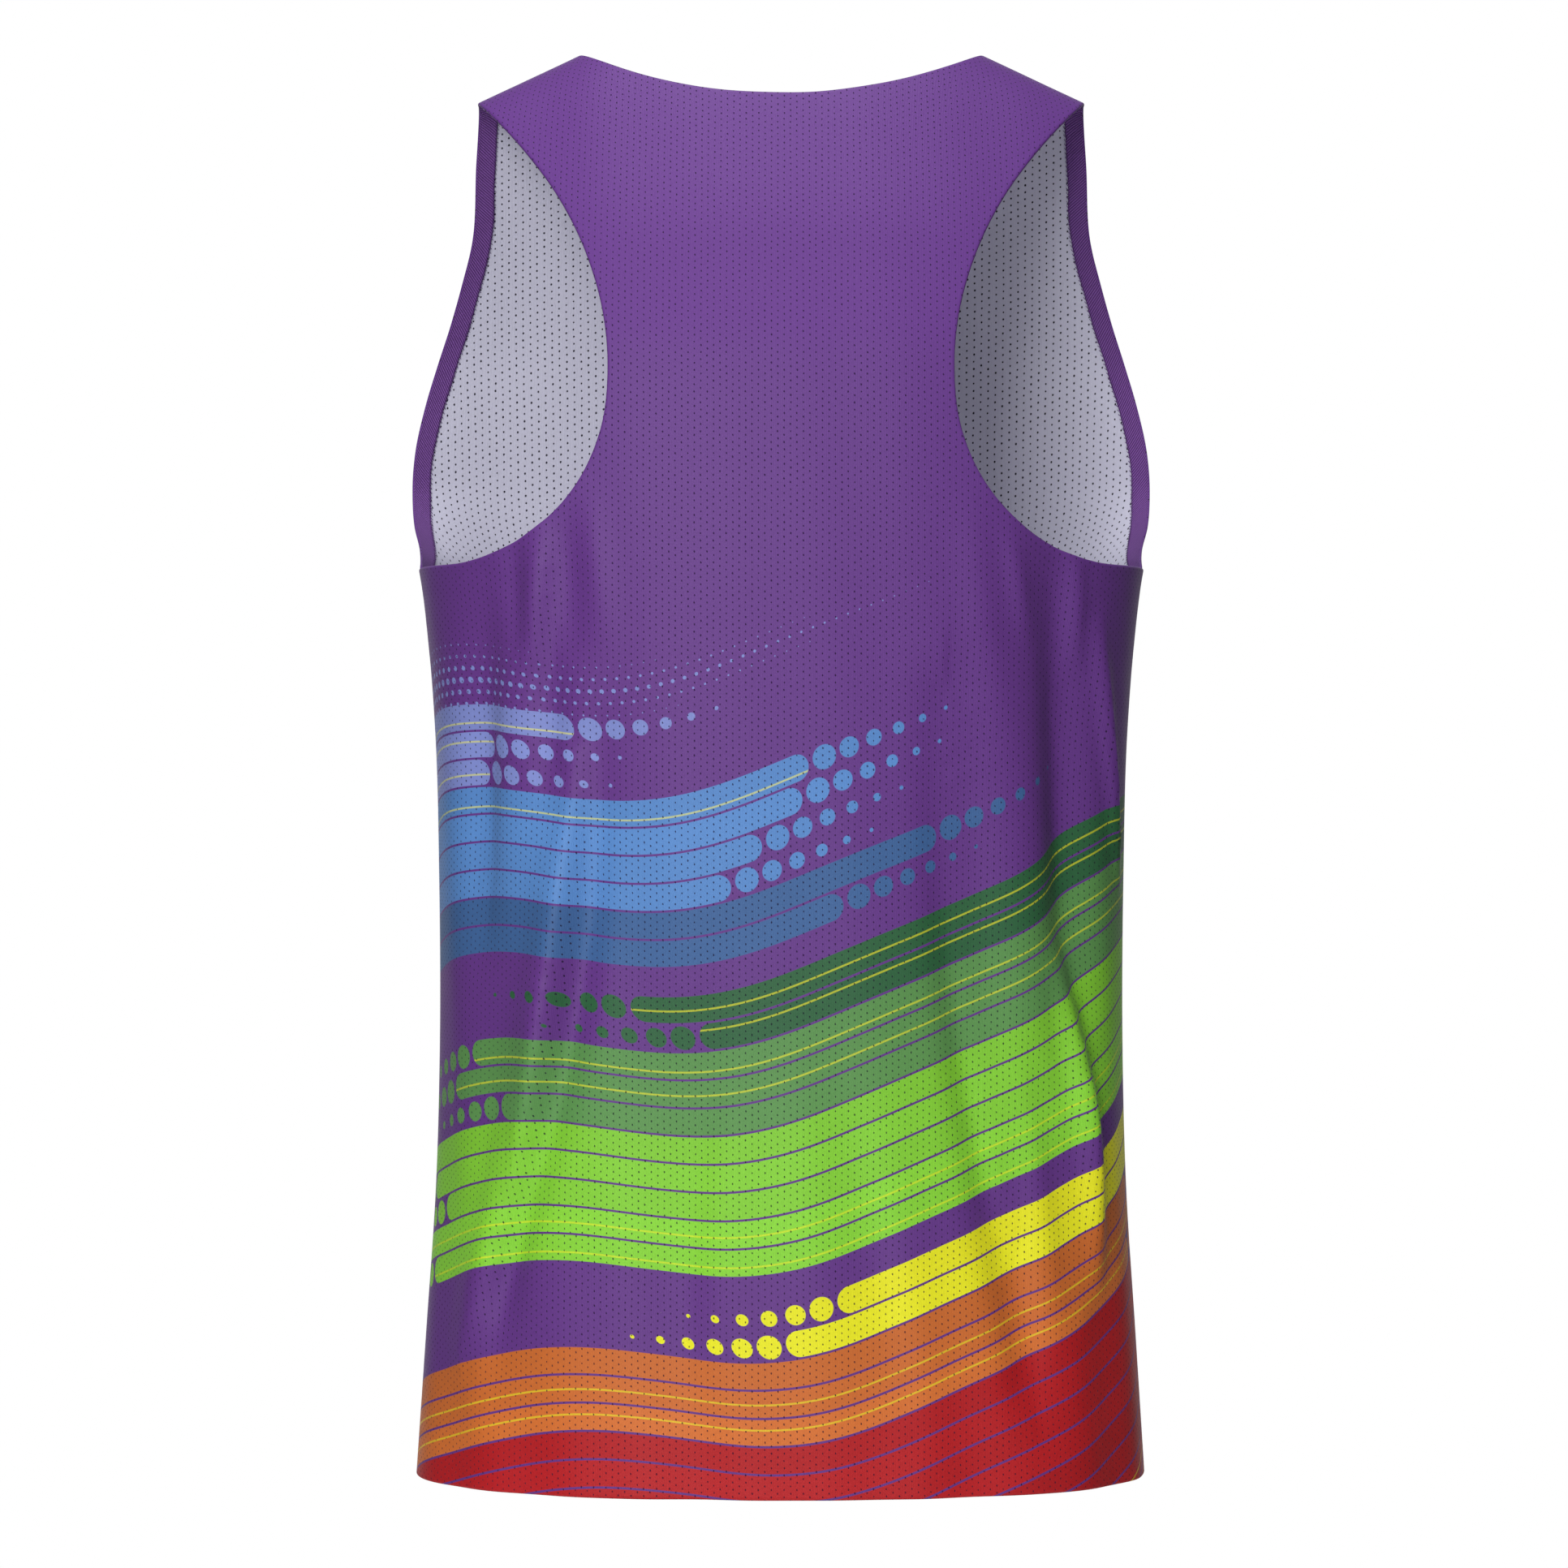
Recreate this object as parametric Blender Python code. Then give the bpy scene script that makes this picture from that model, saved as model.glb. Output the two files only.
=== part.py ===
"""Running singlet: a sleeveless top of light eyelet knit, filled out as if worn.

Metres, +Z up. The front of the garment faces -Y, its back faces +Y and the wearer's left is +X.
The origin is midway between the two points where the shoulder seams meet the neck.

Both panels lie on one form, an oval that narrows to the waist and bends over the shoulders. Each
panel is a net of columns and rows on that form, with strips along its cut edges; the net is pushed
in and out by the folds and then given its wall. The facings inside are made from the points of the
strips, moved inwards.
"""

from collections import namedtuple

import bmesh
import bpy
import numpy as np

# ---------------------------------------------------------------- driving dimensions

BODY_LENGTH = 0.690  # from the shoulder at the neck down to the hem
NECK_HALF = 0.0978  # from the centre to the shoulder at the neck
SHOULDER_HALF = 0.1482  # from the centre to the tip of the shoulder
SHOULDER_SLOPE = 0.466  # fall of the shoulder seam for each metre outwards
SHOULDER_FALL = 0.130  # height over which the cloth bends over the shoulder
UNDERARM_Z = -0.2505  # height where the side seams end
FRONT_FLARE = 0.044  # how much wider the front's oval is beside the armholes
FLARE_STARTS, FLARE_FULL = -0.2485, -0.2020
FLARE_FADES, FLARE_ENDS = -0.1500, -0.0450
BACK_NECK_DROP = 0.0243
FRONT_NECK_DROP = 0.0950
BACK_NECK_POWER = 2.25  # a higher power makes a squarer neckline
FRONT_NECK_POWER = 2.10
ROUNDNESS = 2.3  # 2 is an ellipse, and higher is squarer

CLOTH = 0.0012
FACING = 0.0009
FACING_WIDTH = 0.010
HEM_WIDTH = 0.020
SEAM_GAP = 0.0003

# Columns from the centre to one side, and rows below and above the underarm.
HALF_COLUMNS = 17
BODY_ROWS = 15
ARMHOLE_ROWS = 26
STRIP_COLUMNS = 1
NECK_COLUMNS = 9  # of the half's columns, those that end at the neck
BACK_STRAP_ROWS = 5  # rows above the foot of a strap
FRONT_STRAP_ROWS = 9
LIFT_POWER = 2.2  # how late the rows begin to follow the neck's line
SHARE_POWER = 6.6  # how late the columns begin to spread as they do under the neck
RELAXING = 600  # rounds of evening out the net
SHARP_ANGLE = 0.9

FOLD_END = 0.08  # how far before its ends a fold stops, as a share of its length
FOLD_ENDING = 0.7  # a lower power keeps a fold high for longer
SEAM_FADE = 0.03  # folds die out within this distance of the side seams
SEAM_FADE_POWER = 1.5
BODY_MIDDLE = (0, 0, -0.3)

Girth = namedtuple("Girth", "z half_width back_depth front_depth")
Edge = namedtuple("Edge", "x z")
Fold = namedtuple("Fold", "x_top z_top x_low z_low bow height spread")

# The oval at each height. Above the underarm its sides are cut away by the armholes.
GIRTHS = (
    Girth(-0.690, 0.1770, 0.1120, 0.1120),
    Girth(-0.620, 0.1725, 0.1105, 0.1120),
    Girth(-0.550, 0.1680, 0.1095, 0.1130),
    Girth(-0.480, 0.1662, 0.1090, 0.1150),
    Girth(-0.400, 0.1666, 0.1105, 0.1180),
    Girth(-0.330, 0.1685, 0.1135, 0.1220),
    Girth(-0.290, 0.1715, 0.1155, 0.1240),
    Girth(-0.250, 0.1766, 0.1170, 0.1250),
    Girth(-0.230, 0.1812, 0.1172, 0.1235),
    Girth(-0.210, 0.1850, 0.1170, 0.1215),
    Girth(-0.180, 0.1872, 0.1160, 0.1170),
    Girth(-0.150, 0.1880, 0.1125, 0.1100),
    Girth(-0.100, 0.1880, 0.0960, 0.0900),
    Girth(-0.050, 0.1880, 0.0780, 0.0700),
    Girth(0.030, 0.1880, 0.0600, 0.0560),
)

# The cut edge of each armhole, seen from straight behind, between the underarm and the shoulder.
BACK_ARMHOLE = (
    Edge(0.1500, -0.2494),
    Edge(0.1193, -0.2366),
    Edge(0.0982, -0.2165),
    Edge(0.0851, -0.1894),
    Edge(0.0815, -0.1585),
    Edge(0.0838, -0.1340),
    Edge(0.0919, -0.1054),
    Edge(0.1062, -0.0759),
    Edge(0.1223, -0.0529),
    Edge(0.1384, -0.0339),
)
FRONT_ARMHOLE = (
    Edge(0.1833, -0.2270),
    Edge(0.1856, -0.2080),
    Edge(0.1846, -0.1910),
    Edge(0.1791, -0.1649),
    Edge(0.1729, -0.1446),
    Edge(0.1660, -0.1247),
    Edge(0.1598, -0.1052),
    Edge(0.1543, -0.0859),
    Edge(0.1508, -0.0482),
)

# Largest folds: from a top point to a low point, bowed sideways, with a positive height for a
# ridge and a negative one for a trough. The spread is half the width of the fold.
BACK_FOLDS = (
    Fold(-0.124, -0.240, -0.137, -0.475, -0.002, -0.0100, 0.013),
    Fold(-0.149, -0.285, -0.160, -0.395, 0.000, 0.0055, 0.009),
    Fold(-0.138, -0.440, -0.155, -0.580, -0.002, 0.0075, 0.010),
    Fold(-0.063, -0.280, -0.112, -0.620, 0.010, -0.0080, 0.016),
    Fold(0.114, -0.240, 0.118, -0.300, 0.000, 0.0045, 0.011),
    Fold(0.134, -0.265, 0.138, -0.425, 0.003, -0.0080, 0.012),
    Fold(0.098, -0.320, 0.150, -0.620, -0.012, 0.0070, 0.014),
    Fold(0.030, -0.430, 0.050, -0.640, 0.000, -0.0030, 0.022),
)
FRONT_FOLDS = (
    Fold(0.126, -0.255, 0.132, -0.450, 0.004, -0.0080, 0.013),
    Fold(-0.130, -0.245, -0.142, -0.400, -0.002, -0.0075, 0.012),
    Fold(-0.090, -0.310, -0.128, -0.610, 0.008, 0.0070, 0.014),
    Fold(0.070, -0.330, 0.108, -0.600, -0.008, -0.0060, 0.015),
    Fold(0.150, -0.330, 0.154, -0.560, 0.000, 0.0055, 0.010),
    Fold(-0.020, -0.420, -0.045, -0.640, 0.000, -0.0035, 0.022),
)


class Side:
    """What differs between the front and the back: facing is +1 on the back and -1 on the front."""

    def __init__(self, facing, depth, neck_drop, neck_power, strap_rows, armhole, folds):
        self.facing = facing
        self.depth = depth
        self.neck_drop = neck_drop
        self.neck_power = neck_power
        self.strap_rows = strap_rows
        self.armhole = armhole
        self.folds = folds


BACK = Side(
    facing=1,
    depth="back_depth",
    neck_drop=BACK_NECK_DROP,
    neck_power=BACK_NECK_POWER,
    strap_rows=BACK_STRAP_ROWS,
    armhole=BACK_ARMHOLE,
    folds=BACK_FOLDS,
)
FRONT = Side(
    facing=-1,
    depth="front_depth",
    neck_drop=FRONT_NECK_DROP,
    neck_power=FRONT_NECK_POWER,
    strap_rows=FRONT_STRAP_ROWS,
    armhole=FRONT_ARMHOLE,
    folds=FRONT_FOLDS,
)


# ---------------------------------------------------------------- the form


def through(knots, values, at):
    """A smooth curve through the values at the knots, read at other places."""
    slope = np.gradient(values, knots)
    at = np.clip(at, knots[0], knots[-1])
    i = np.clip(np.searchsorted(knots, at) - 1, 0, len(knots) - 2)
    step = knots[i + 1] - knots[i]
    t = (at - knots[i]) / step
    rise = t * t * (3 - 2 * t)
    ease_out = t * (1 - t) ** 2 * step * slope[i]
    ease_in = t * t * (t - 1) * step * slope[i + 1]
    return values[i] + (values[i + 1] - values[i]) * rise + ease_out + ease_in


def girth(z, column):
    knots = np.array([row.z for row in GIRTHS])
    values = np.array([getattr(row, column) for row in GIRTHS])
    return through(knots, values, z)


def eased(value, start, end):
    """From 0 at the start to 1 at the end."""
    t = np.clip((value - start) / (end - start), 0, 1)
    return t * t * (3 - 2 * t)


def half_width(z, side):
    """Both panels meet at the seams. Between them the front opens out round the arm."""
    flare = eased(z, FLARE_STARTS, FLARE_FULL) - eased(z, FLARE_FADES, FLARE_ENDS)
    return girth(z, "half_width") + (FRONT_FLARE * flare if side.facing < 0 else 0)


def ridge_height(x):
    """Height of the fold line over the shoulders, rounded off above the neck opening."""
    x = np.abs(x)
    peak = SHOULDER_SLOPE * NECK_HALF / 2
    return np.where(
        x < NECK_HALF, peak * (1 - (x / NECK_HALF) ** 2), SHOULDER_SLOPE * (NECK_HALF - x)
    )


def fullness(x, z):
    """0 on the shoulder line, 1 where the cloth hangs straight."""
    below = np.clip((ridge_height(x) - z) / SHOULDER_FALL, 0, 1)
    return 1 - (1 - below) ** ROUNDNESS


def outside(points, side):
    """Zero on the form, positive outside it and smooth all over."""
    x, y, z = points.T
    wide = np.abs(x / half_width(z, side)) ** ROUNDNESS
    deep = np.abs(y / girth(z, side.depth)) ** ROUNDNESS
    return deep - fullness(x, z) * (1 - wide)


def slope_of(points, side, step=1e-5):
    moves = step * np.eye(3)
    return np.stack(
        [(outside(points + m, side) - outside(points - m, side)) / (2 * step) for m in moves],
        axis=1,
    )


def outward(points, side):
    """Unit normals, which lie in the seam's plane where the point is on a seam."""
    slope = slope_of(points, side)
    slope[np.abs(points[:, 1]) < 1e-6, 1] = 0
    return slope / np.linalg.norm(slope, axis=1, keepdims=True)


def settle(points, side, rounds=6):
    """Points near the form, moved onto it."""
    for _ in range(rounds):
        slope = slope_of(points, side)
        slope[np.abs(points[:, 1]) < 1e-6, 1] = 0
        size = (slope * slope).sum(axis=1)
        points = points - slope * (outside(points, side) / size)[:, None]
    return points


def from_above(x, z, side):
    """The point of the form at this place, seen from straight in front or behind."""
    inside = 1 - np.minimum(np.abs(x) / half_width(z, side), 1) ** ROUNDNESS
    y = girth(z, side.depth) * (fullness(x, z) * inside) ** (1 / ROUNDNESS)
    return np.stack([x, side.facing * y, z], axis=-1)


def angle_at(x, z, side):
    """How far round the oval a place lies: 0 at the centre and a quarter turn at the side."""
    inside = 1 - np.minimum(np.abs(x) / half_width(z, side), 1) ** ROUNDNESS
    return np.arctan2(x, girth(z, side.depth) * inside ** (1 / ROUNDNESS))


def from_angle(angle, z, side):
    width = half_width(z, side)
    depth = girth(z, side.depth)
    across = np.abs(np.sin(angle) / width) ** ROUNDNESS
    along = np.abs(np.cos(angle) / depth) ** ROUNDNESS
    x = np.sin(angle) * (across + along) ** (-1 / ROUNDNESS)
    return from_above(x, z, side)


# ---------------------------------------------------------------- the cut edges


def evenly(points, count):
    """The same line with this many points, spaced evenly along it."""
    steps = np.linalg.norm(np.diff(points, axis=0), axis=1)
    along = np.concatenate([[0], np.cumsum(steps)])
    at = np.linspace(0, along[-1], count)
    return np.stack([np.interp(at, along, points[:, k]) for k in range(3)], axis=1)


def armhole_edge(side):
    """From the underarm up to the shoulder, on the +X side."""
    underarm = Edge(float(girth(UNDERARM_Z, "half_width")), UNDERARM_Z)
    tip = Edge(SHOULDER_HALF, float(ridge_height(SHOULDER_HALF)))
    knots = np.array([underarm, *side.armhole, tip])
    steps = np.linalg.norm(np.diff(knots, axis=0), axis=1)
    along = np.concatenate([[0], np.cumsum(steps)])
    # Crowded towards both ends, where the cloth turns quickest.
    at = along[-1] * (1 - np.cos(np.linspace(0, np.pi, 800))) / 2
    x = through(along, knots[:, 0], at)
    z = through(along, knots[:, 1], at)
    line = from_above(x, z, side)
    line[[0, -1], 1] = 0
    return settle(evenly(line, ARMHOLE_ROWS + 1), side)


def neck_line_height(x, side):
    return -side.neck_drop * (1 - np.abs(x / NECK_HALF) ** side.neck_power)


def neck_edge(side, count):
    """From the -X shoulder through the centre to the +X shoulder."""
    x = NECK_HALF * np.sin(np.linspace(-np.pi / 2, np.pi / 2, 801))
    line = from_above(x, neck_line_height(x, side), side)
    line[[0, -1], 1] = 0
    return settle(evenly(line, count), side)


def strip_beside(edge, side, width):
    """Lines from the cut edge inwards over the form, the edge first."""
    along = np.gradient(edge, axis=0)
    along[[0, -1]] = [0, 1, 0]
    along[0] *= np.sign(edge[1, 1])
    along[-1] *= -np.sign(edge[-2, 1])
    inwards = np.cross(outward(edge, side), along)
    inwards /= np.linalg.norm(inwards, axis=1, keepdims=True)
    half_way = len(edge) // 2
    if inwards[half_way] @ (BODY_MIDDLE - edge[half_way]) < 0:
        inwards = -inwards
    return [
        settle(edge + inwards * width * k / STRIP_COLUMNS, side) for k in range(STRIP_COLUMNS + 1)
    ]


# ---------------------------------------------------------------- folds


def fold_height(points, side):
    """How far the folds push each point of the cloth outwards."""
    total = np.zeros(len(points))
    for fold in side.folds:
        t = np.linspace(0, 1, 41)
        x = fold.x_top + (fold.x_low - fold.x_top) * t + fold.bow * 4 * t * (1 - t)
        z = fold.z_top + (fold.z_low - fold.z_top) * t
        path = from_above(x, z, side)
        away = np.linalg.norm(points[:, None] - path[None], axis=2)
        nearest = away.argmin(axis=1)
        place = FOLD_END + (1 - 2 * FOLD_END) * t[nearest]
        strength = np.sin(np.pi * place) ** FOLD_ENDING
        total += fold.height * strength * np.exp(-((away.min(axis=1) / fold.spread) ** 2))
    # The seams are held, so nothing moves on them.
    return total * np.clip(np.abs(points[:, 1]) / SEAM_FADE, 0, 1) ** SEAM_FADE_POWER


# ---------------------------------------------------------------- a panel's net


def mirrored(line):
    return line * [-1, 1, 1]


def relaxed(net, side):
    """The net evened out inside its border, so that its meshes are as square as they can be.

    Each point moves to a middle of its neighbours and back onto the form. The middle is weighted
    by how wide and how high the meshes round it are, so that no lines cross at a hollow border.
    """
    around = [
        net[1 + up : len(net) - 1 + up, 1 + right : net.shape[1] - 1 + right]
        for up in (-1, 0, 1)
        for right in (-1, 0, 1)
    ]
    movable = ~np.isnan(around).any(axis=(0, 3))
    for _ in range(RELAXING):
        up, down = net[2:, 1:-1], net[:-2, 1:-1]
        right, left = net[1:-1, 2:], net[1:-1, :-2]
        high, wide = (up - down) / 2, (right - left) / 2
        tall = (high * high).sum(axis=2, keepdims=True)
        broad = (wide * wide).sum(axis=2, keepdims=True)
        skew = (high * wide).sum(axis=2, keepdims=True)
        corners = net[2:, 2:] - net[2:, :-2] - net[:-2, 2:] + net[:-2, :-2]
        middle = tall * (right + left) + broad * (up + down) - skew * corners / 2
        middle /= 2 * (tall + broad)
        net[1:-1, 1:-1][movable] = settle(middle[movable], side, rounds=1)
    return net


def across(start, end, count, side):
    """A row of points on the form from one place to another."""
    share = np.linspace(0, 1, count)[:, None]
    row = start + (end - start) * share
    if start[1] != 0:
        row[1:-1] = settle(row[1:-1], side)
    return row


def panel_net(side):
    """Nets of lines of points: the main one, then the strips along the armholes and the neck.

    The main net has no points above the neck, where the straps go on by themselves.
    """
    armhole = strip_beside(armhole_edge(side), side, FACING_WIDTH)
    inner = armhole[-1]
    neck_count = 2 * (NECK_COLUMNS + side.strap_rows) + 1
    neck = strip_beside(neck_edge(side, neck_count), side, FACING_WIDTH)
    strap_side = neck[-1][-side.strap_rows - 1 :]
    strap_columns = HALF_COLUMNS - NECK_COLUMNS + 1

    # The side of the main net runs up the side seam, then up the inner line of the strip.
    seam_z = np.linspace(HEM_WIDTH - BODY_LENGTH, inner[0, 2], BODY_ROWS)[:-1]
    seam_z = np.concatenate([[-BODY_LENGTH], seam_z])
    side_z = np.concatenate([seam_z, inner[:, 2]])[: -side.strap_rows]
    inner_angle = angle_at(inner[1:, 0], inner[1:, 2], side)
    side_angle = np.concatenate([np.full(len(seam_z) + 1, np.pi / 2), inner_angle])

    # Its top row runs under the neck, with the foot of a strap at each end.
    foot = across(strap_side[0], inner[-side.strap_rows - 1], strap_columns, side)
    under_neck = neck[-1][side.strap_rows + 1 : -side.strap_rows - 1]
    top = np.concatenate([mirrored(foot)[::-1], under_neck, foot])
    top_share = angle_at(top[:, 0], top[:, 2], side)
    top_share /= top_share[-1]

    share = np.linspace(-1, 1, 2 * HALF_COLUMNS + 1)
    rise = top[:, 2] - top[-1, 2]
    climb = (side_z - side_z[0]) / (side_z[-1] - side_z[0])
    rows = [
        from_angle(
            angle * (share + up**SHARE_POWER * (top_share - share)), z + up**LIFT_POWER * rise, side
        )
        for z, angle, up in zip(side_z, side_angle, climb)
    ]
    for row, end in zip(rows[len(seam_z) :], inner):
        # The main net and the strip share these points exactly.
        row[-1] = end
        row[0] = mirrored(end)
    for row in rows[: len(seam_z)]:
        row[[0, -1], 1] = 0
    rows[-1] = top
    gap = np.full((2 * NECK_COLUMNS - 1, 3), np.nan)
    for start, end in zip(strap_side[1:], inner[-side.strap_rows :]):
        strap = across(start, end, strap_columns, side)
        rows.append(np.concatenate([mirrored(strap)[::-1], gap, strap]))
    # The hem's turning follows the two lowest rows, which stay level.
    rows[1:] = relaxed(np.array(rows[1:]), side)
    return rows, armhole, neck


def skins(lines, side, inset, wall, seam_gap=0.0):
    """The outer and the inner points of a net, folded, set in from the form and given a wall."""
    shape = np.shape(lines)
    points = np.reshape(lines, (-1, 3))
    normals = outward(points, side)
    outer = points + normals * (fold_height(points, side) - inset)[:, None]
    outer[:, 1] += side.facing * seam_gap / 2
    inner = outer - normals * wall
    return outer.reshape(shape), inner.reshape(shape)


def panel(name, side, net, colour):
    rows, armhole, neck = net
    nets = [rows, armhole, [mirrored(line) for line in armhole], neck]
    walls = [skins(lines, side, 0, CLOTH, SEAM_GAP) for lines in nets]
    return solid(name, walls, colour)


def facing_ring(name, strips, colour, turn=mirrored):
    """A strip all round an opening, along the edge of the back and then of the front."""
    walls = []
    for side, lines in strips.items():
        turned = [turn(line) for line in lines]
        walls.append(skins(turned, side, CLOTH + SEAM_GAP, FACING))
    return solid(name, walls, colour)


def hem_turn(name, side, net, colour):
    rows = net[0][:2]
    walls = skins(rows, side, CLOTH + SEAM_GAP, FACING, SEAM_GAP)
    return solid(name, [walls], colour)


# ---------------------------------------------------------------- solids


def solid(name, walls, colour):
    """One closed body from pairs of nets, an outer and an inner, joined where they share points."""
    work = bmesh.new()
    pairs = {}

    def pair_at(a, b):
        if np.isnan(a[0]):
            return None
        key = tuple(np.round(a, 5))
        if key not in pairs:
            pairs[key] = (work.verts.new(a), work.verts.new(b))
        return pairs[key]

    for outer, inner in walls:
        net = [[pair_at(a, b) for a, b in zip(*line)] for line in zip(outer, inner)]
        for low, high in zip(net, net[1:]):
            for c in range(len(low) - 1):
                corners = (low[c], low[c + 1], high[c + 1], high[c])
                if None in corners:
                    continue
                a, b, d, e = (point for point, _ in corners)
                # Every net is cut the same way, so that a strip lies flat on its panel.
                work.faces.new((a, b, d))
                work.faces.new((a, d, e))
    partner = dict(pairs.values())
    skin = list(work.faces)
    rim = [edge for edge in work.edges if edge.is_boundary]
    for face in skin:
        work.faces.new([partner[v] for v in reversed(face.verts)])
    for edge in rim:
        a, b = edge.verts
        work.faces.new((a, b, partner[b], partner[a]))
    bmesh.ops.recalc_face_normals(work, faces=work.faces)

    mesh = bpy.data.meshes.new(name)
    work.to_mesh(mesh)
    work.free()
    mesh.shade_smooth()
    mesh.set_sharp_from_angle(angle=SHARP_ANGLE)
    mesh.materials.append(colour)
    made = bpy.data.objects.new(name, mesh)
    bpy.context.scene.collection.objects.link(made)
    return made


def cloth_material(name, colour, roughness):
    material = bpy.data.materials.new(name)
    material.use_nodes = True
    shader = material.node_tree.nodes["Principled BSDF"]
    shader.inputs["Base Color"].default_value = (*colour, 1)
    shader.inputs["Roughness"].default_value = roughness
    shader.inputs["Metallic"].default_value = 0
    return material


# ---------------------------------------------------------------- the garment


def build():
    for old in list(bpy.data.objects):
        bpy.data.objects.remove(old)

    purple = (0.145, 0.058, 0.255)
    deep_purple = (0.115, 0.045, 0.205)
    nets = {side: panel_net(side) for side in (BACK, FRONT)}
    armholes = {side: net[1] for side, net in nets.items()}
    necks = {side: net[2] for side, net in nets.items()}

    panel("back_panel", BACK, nets[BACK], cloth_material("back_knit", purple, 0.6))
    panel("front_panel", FRONT, nets[FRONT], cloth_material("front_knit", purple, 0.6))
    left = cloth_material("left_armhole_strip", deep_purple, 0.65)
    facing_ring("armhole_facing_left", armholes, left, turn=np.array)
    right = cloth_material("right_armhole_strip", deep_purple, 0.65)
    facing_ring("armhole_facing_right", armholes, right)
    round_neck = cloth_material("neck_strip", deep_purple, 0.65)
    facing_ring("neck_facing", necks, round_neck, turn=np.array)
    hem_turn("hem_turn_back", BACK, nets[BACK], cloth_material("back_hem", deep_purple, 0.65))
    hem_turn("hem_turn_front", FRONT, nets[FRONT], cloth_material("front_hem", deep_purple, 0.65))


build()
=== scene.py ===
# %% [markdown]
# # A running singlet, dressed in Blender
#
# The real garment is two panels of light eyelet knit, printed on the outside and grey-white on the
# reverse, with a narrow bias strip turned in round each opening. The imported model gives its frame:
# metres, +Z up, the front towards -Y and the back towards +Y. This script lays finer cloth on the
# same form, creases it, and gives it its knit and its print.

from collections import namedtuple

import bmesh
import bpy
import numpy as np
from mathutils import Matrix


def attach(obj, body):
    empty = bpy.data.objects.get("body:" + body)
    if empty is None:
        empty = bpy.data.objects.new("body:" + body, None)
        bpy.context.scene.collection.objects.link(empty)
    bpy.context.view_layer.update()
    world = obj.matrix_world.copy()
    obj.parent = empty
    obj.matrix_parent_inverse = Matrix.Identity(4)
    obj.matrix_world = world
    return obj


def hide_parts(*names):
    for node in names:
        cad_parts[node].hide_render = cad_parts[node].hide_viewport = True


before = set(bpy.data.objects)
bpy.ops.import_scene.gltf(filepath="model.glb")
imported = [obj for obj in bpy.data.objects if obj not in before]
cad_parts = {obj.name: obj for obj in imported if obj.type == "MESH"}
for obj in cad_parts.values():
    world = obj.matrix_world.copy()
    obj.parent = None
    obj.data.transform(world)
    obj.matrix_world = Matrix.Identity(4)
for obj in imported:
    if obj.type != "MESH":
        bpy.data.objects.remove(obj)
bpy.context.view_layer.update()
print("solids:", ", ".join(sorted(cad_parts)))

# %% [markdown]
# ## The form
#
# A worn singlet is a tube that narrows to the waist and bends over the shoulders. It could be
# sculpted, but a formula keeps every piece on one surface. Here an oval is given at each height,
# and the shoulder bend takes its depth to nothing at the shoulder line. The sizes are those of the
# solids, so the cloth lies where they lie.

# %% Sizes of the garment
BODY_LENGTH = 0.690
NECK_HALF = 0.0978
SHOULDER_HALF = 0.1482
SHOULDER_SLOPE = 0.466
SHOULDER_FALL = 0.130
UNDERARM_Z = -0.2505
ROUNDNESS = 2.3
BODY_CENTRE = (0, 0, -0.3)

Girth = namedtuple("Girth", "z half_width back_depth front_depth")
GIRTHS = (
    Girth(-0.690, 0.1770, 0.1120, 0.1120),
    Girth(-0.620, 0.1725, 0.1105, 0.1120),
    Girth(-0.550, 0.1680, 0.1095, 0.1130),
    Girth(-0.480, 0.1662, 0.1090, 0.1150),
    Girth(-0.400, 0.1666, 0.1105, 0.1180),
    Girth(-0.330, 0.1685, 0.1135, 0.1220),
    Girth(-0.290, 0.1715, 0.1155, 0.1240),
    Girth(-0.250, 0.1766, 0.1170, 0.1250),
    Girth(-0.230, 0.1812, 0.1172, 0.1235),
    Girth(-0.210, 0.1850, 0.1170, 0.1215),
    Girth(-0.180, 0.1872, 0.1160, 0.1170),
    Girth(-0.150, 0.1880, 0.1125, 0.1100),
    Girth(-0.100, 0.1880, 0.0960, 0.0900),
    Girth(-0.050, 0.1880, 0.0780, 0.0700),
    Girth(0.030, 0.1880, 0.0600, 0.0560),
)


# %% A smooth curve through a table
def through(knots, values, at):
    slope = np.gradient(values, knots)
    at = np.clip(at, knots[0], knots[-1])
    i = np.clip(np.searchsorted(knots, at) - 1, 0, len(knots) - 2)
    step = knots[i + 1] - knots[i]
    t = (at - knots[i]) / step
    rise = t * t * (3 - 2 * t)
    ease_out = t * (1 - t) ** 2 * step * slope[i]
    ease_in = t * t * (t - 1) * step * slope[i + 1]
    return values[i] + (values[i + 1] - values[i]) * rise + ease_out + ease_in


def girth(z, column):
    knots = np.array([row.z for row in GIRTHS])
    return through(knots, np.array([getattr(row, column) for row in GIRTHS]), z)


print("hem width, mm:", round(2000 * float(girth(-BODY_LENGTH, "half_width"))))


# %% Opening out round the arm
FRONT_FLARE = 0.044
FLARE_STARTS, FLARE_FULL = -0.2485, -0.2020
FLARE_FADES, FLARE_ENDS = -0.1500, -0.0450


def eased(value, start, end):
    t = np.clip((value - start) / (end - start), 0, 1)
    return t * t * (3 - 2 * t)


def half_width(z, side):
    flare = eased(z, FLARE_STARTS, FLARE_FULL) - eased(z, FLARE_FADES, FLARE_ENDS)
    return girth(z, "half_width") + (FRONT_FLARE * flare if side.facing < 0 else 0)


# %% The bend over the shoulders
def ridge_height(x):
    x = np.abs(x)
    peak = SHOULDER_SLOPE * NECK_HALF / 2
    return np.where(
        x < NECK_HALF, peak * (1 - (x / NECK_HALF) ** 2), SHOULDER_SLOPE * (NECK_HALF - x)
    )


def fullness(x, z):
    below = np.clip((ridge_height(x) - z) / SHOULDER_FALL, 0, 1)
    return 1 - (1 - below) ** ROUNDNESS


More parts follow.
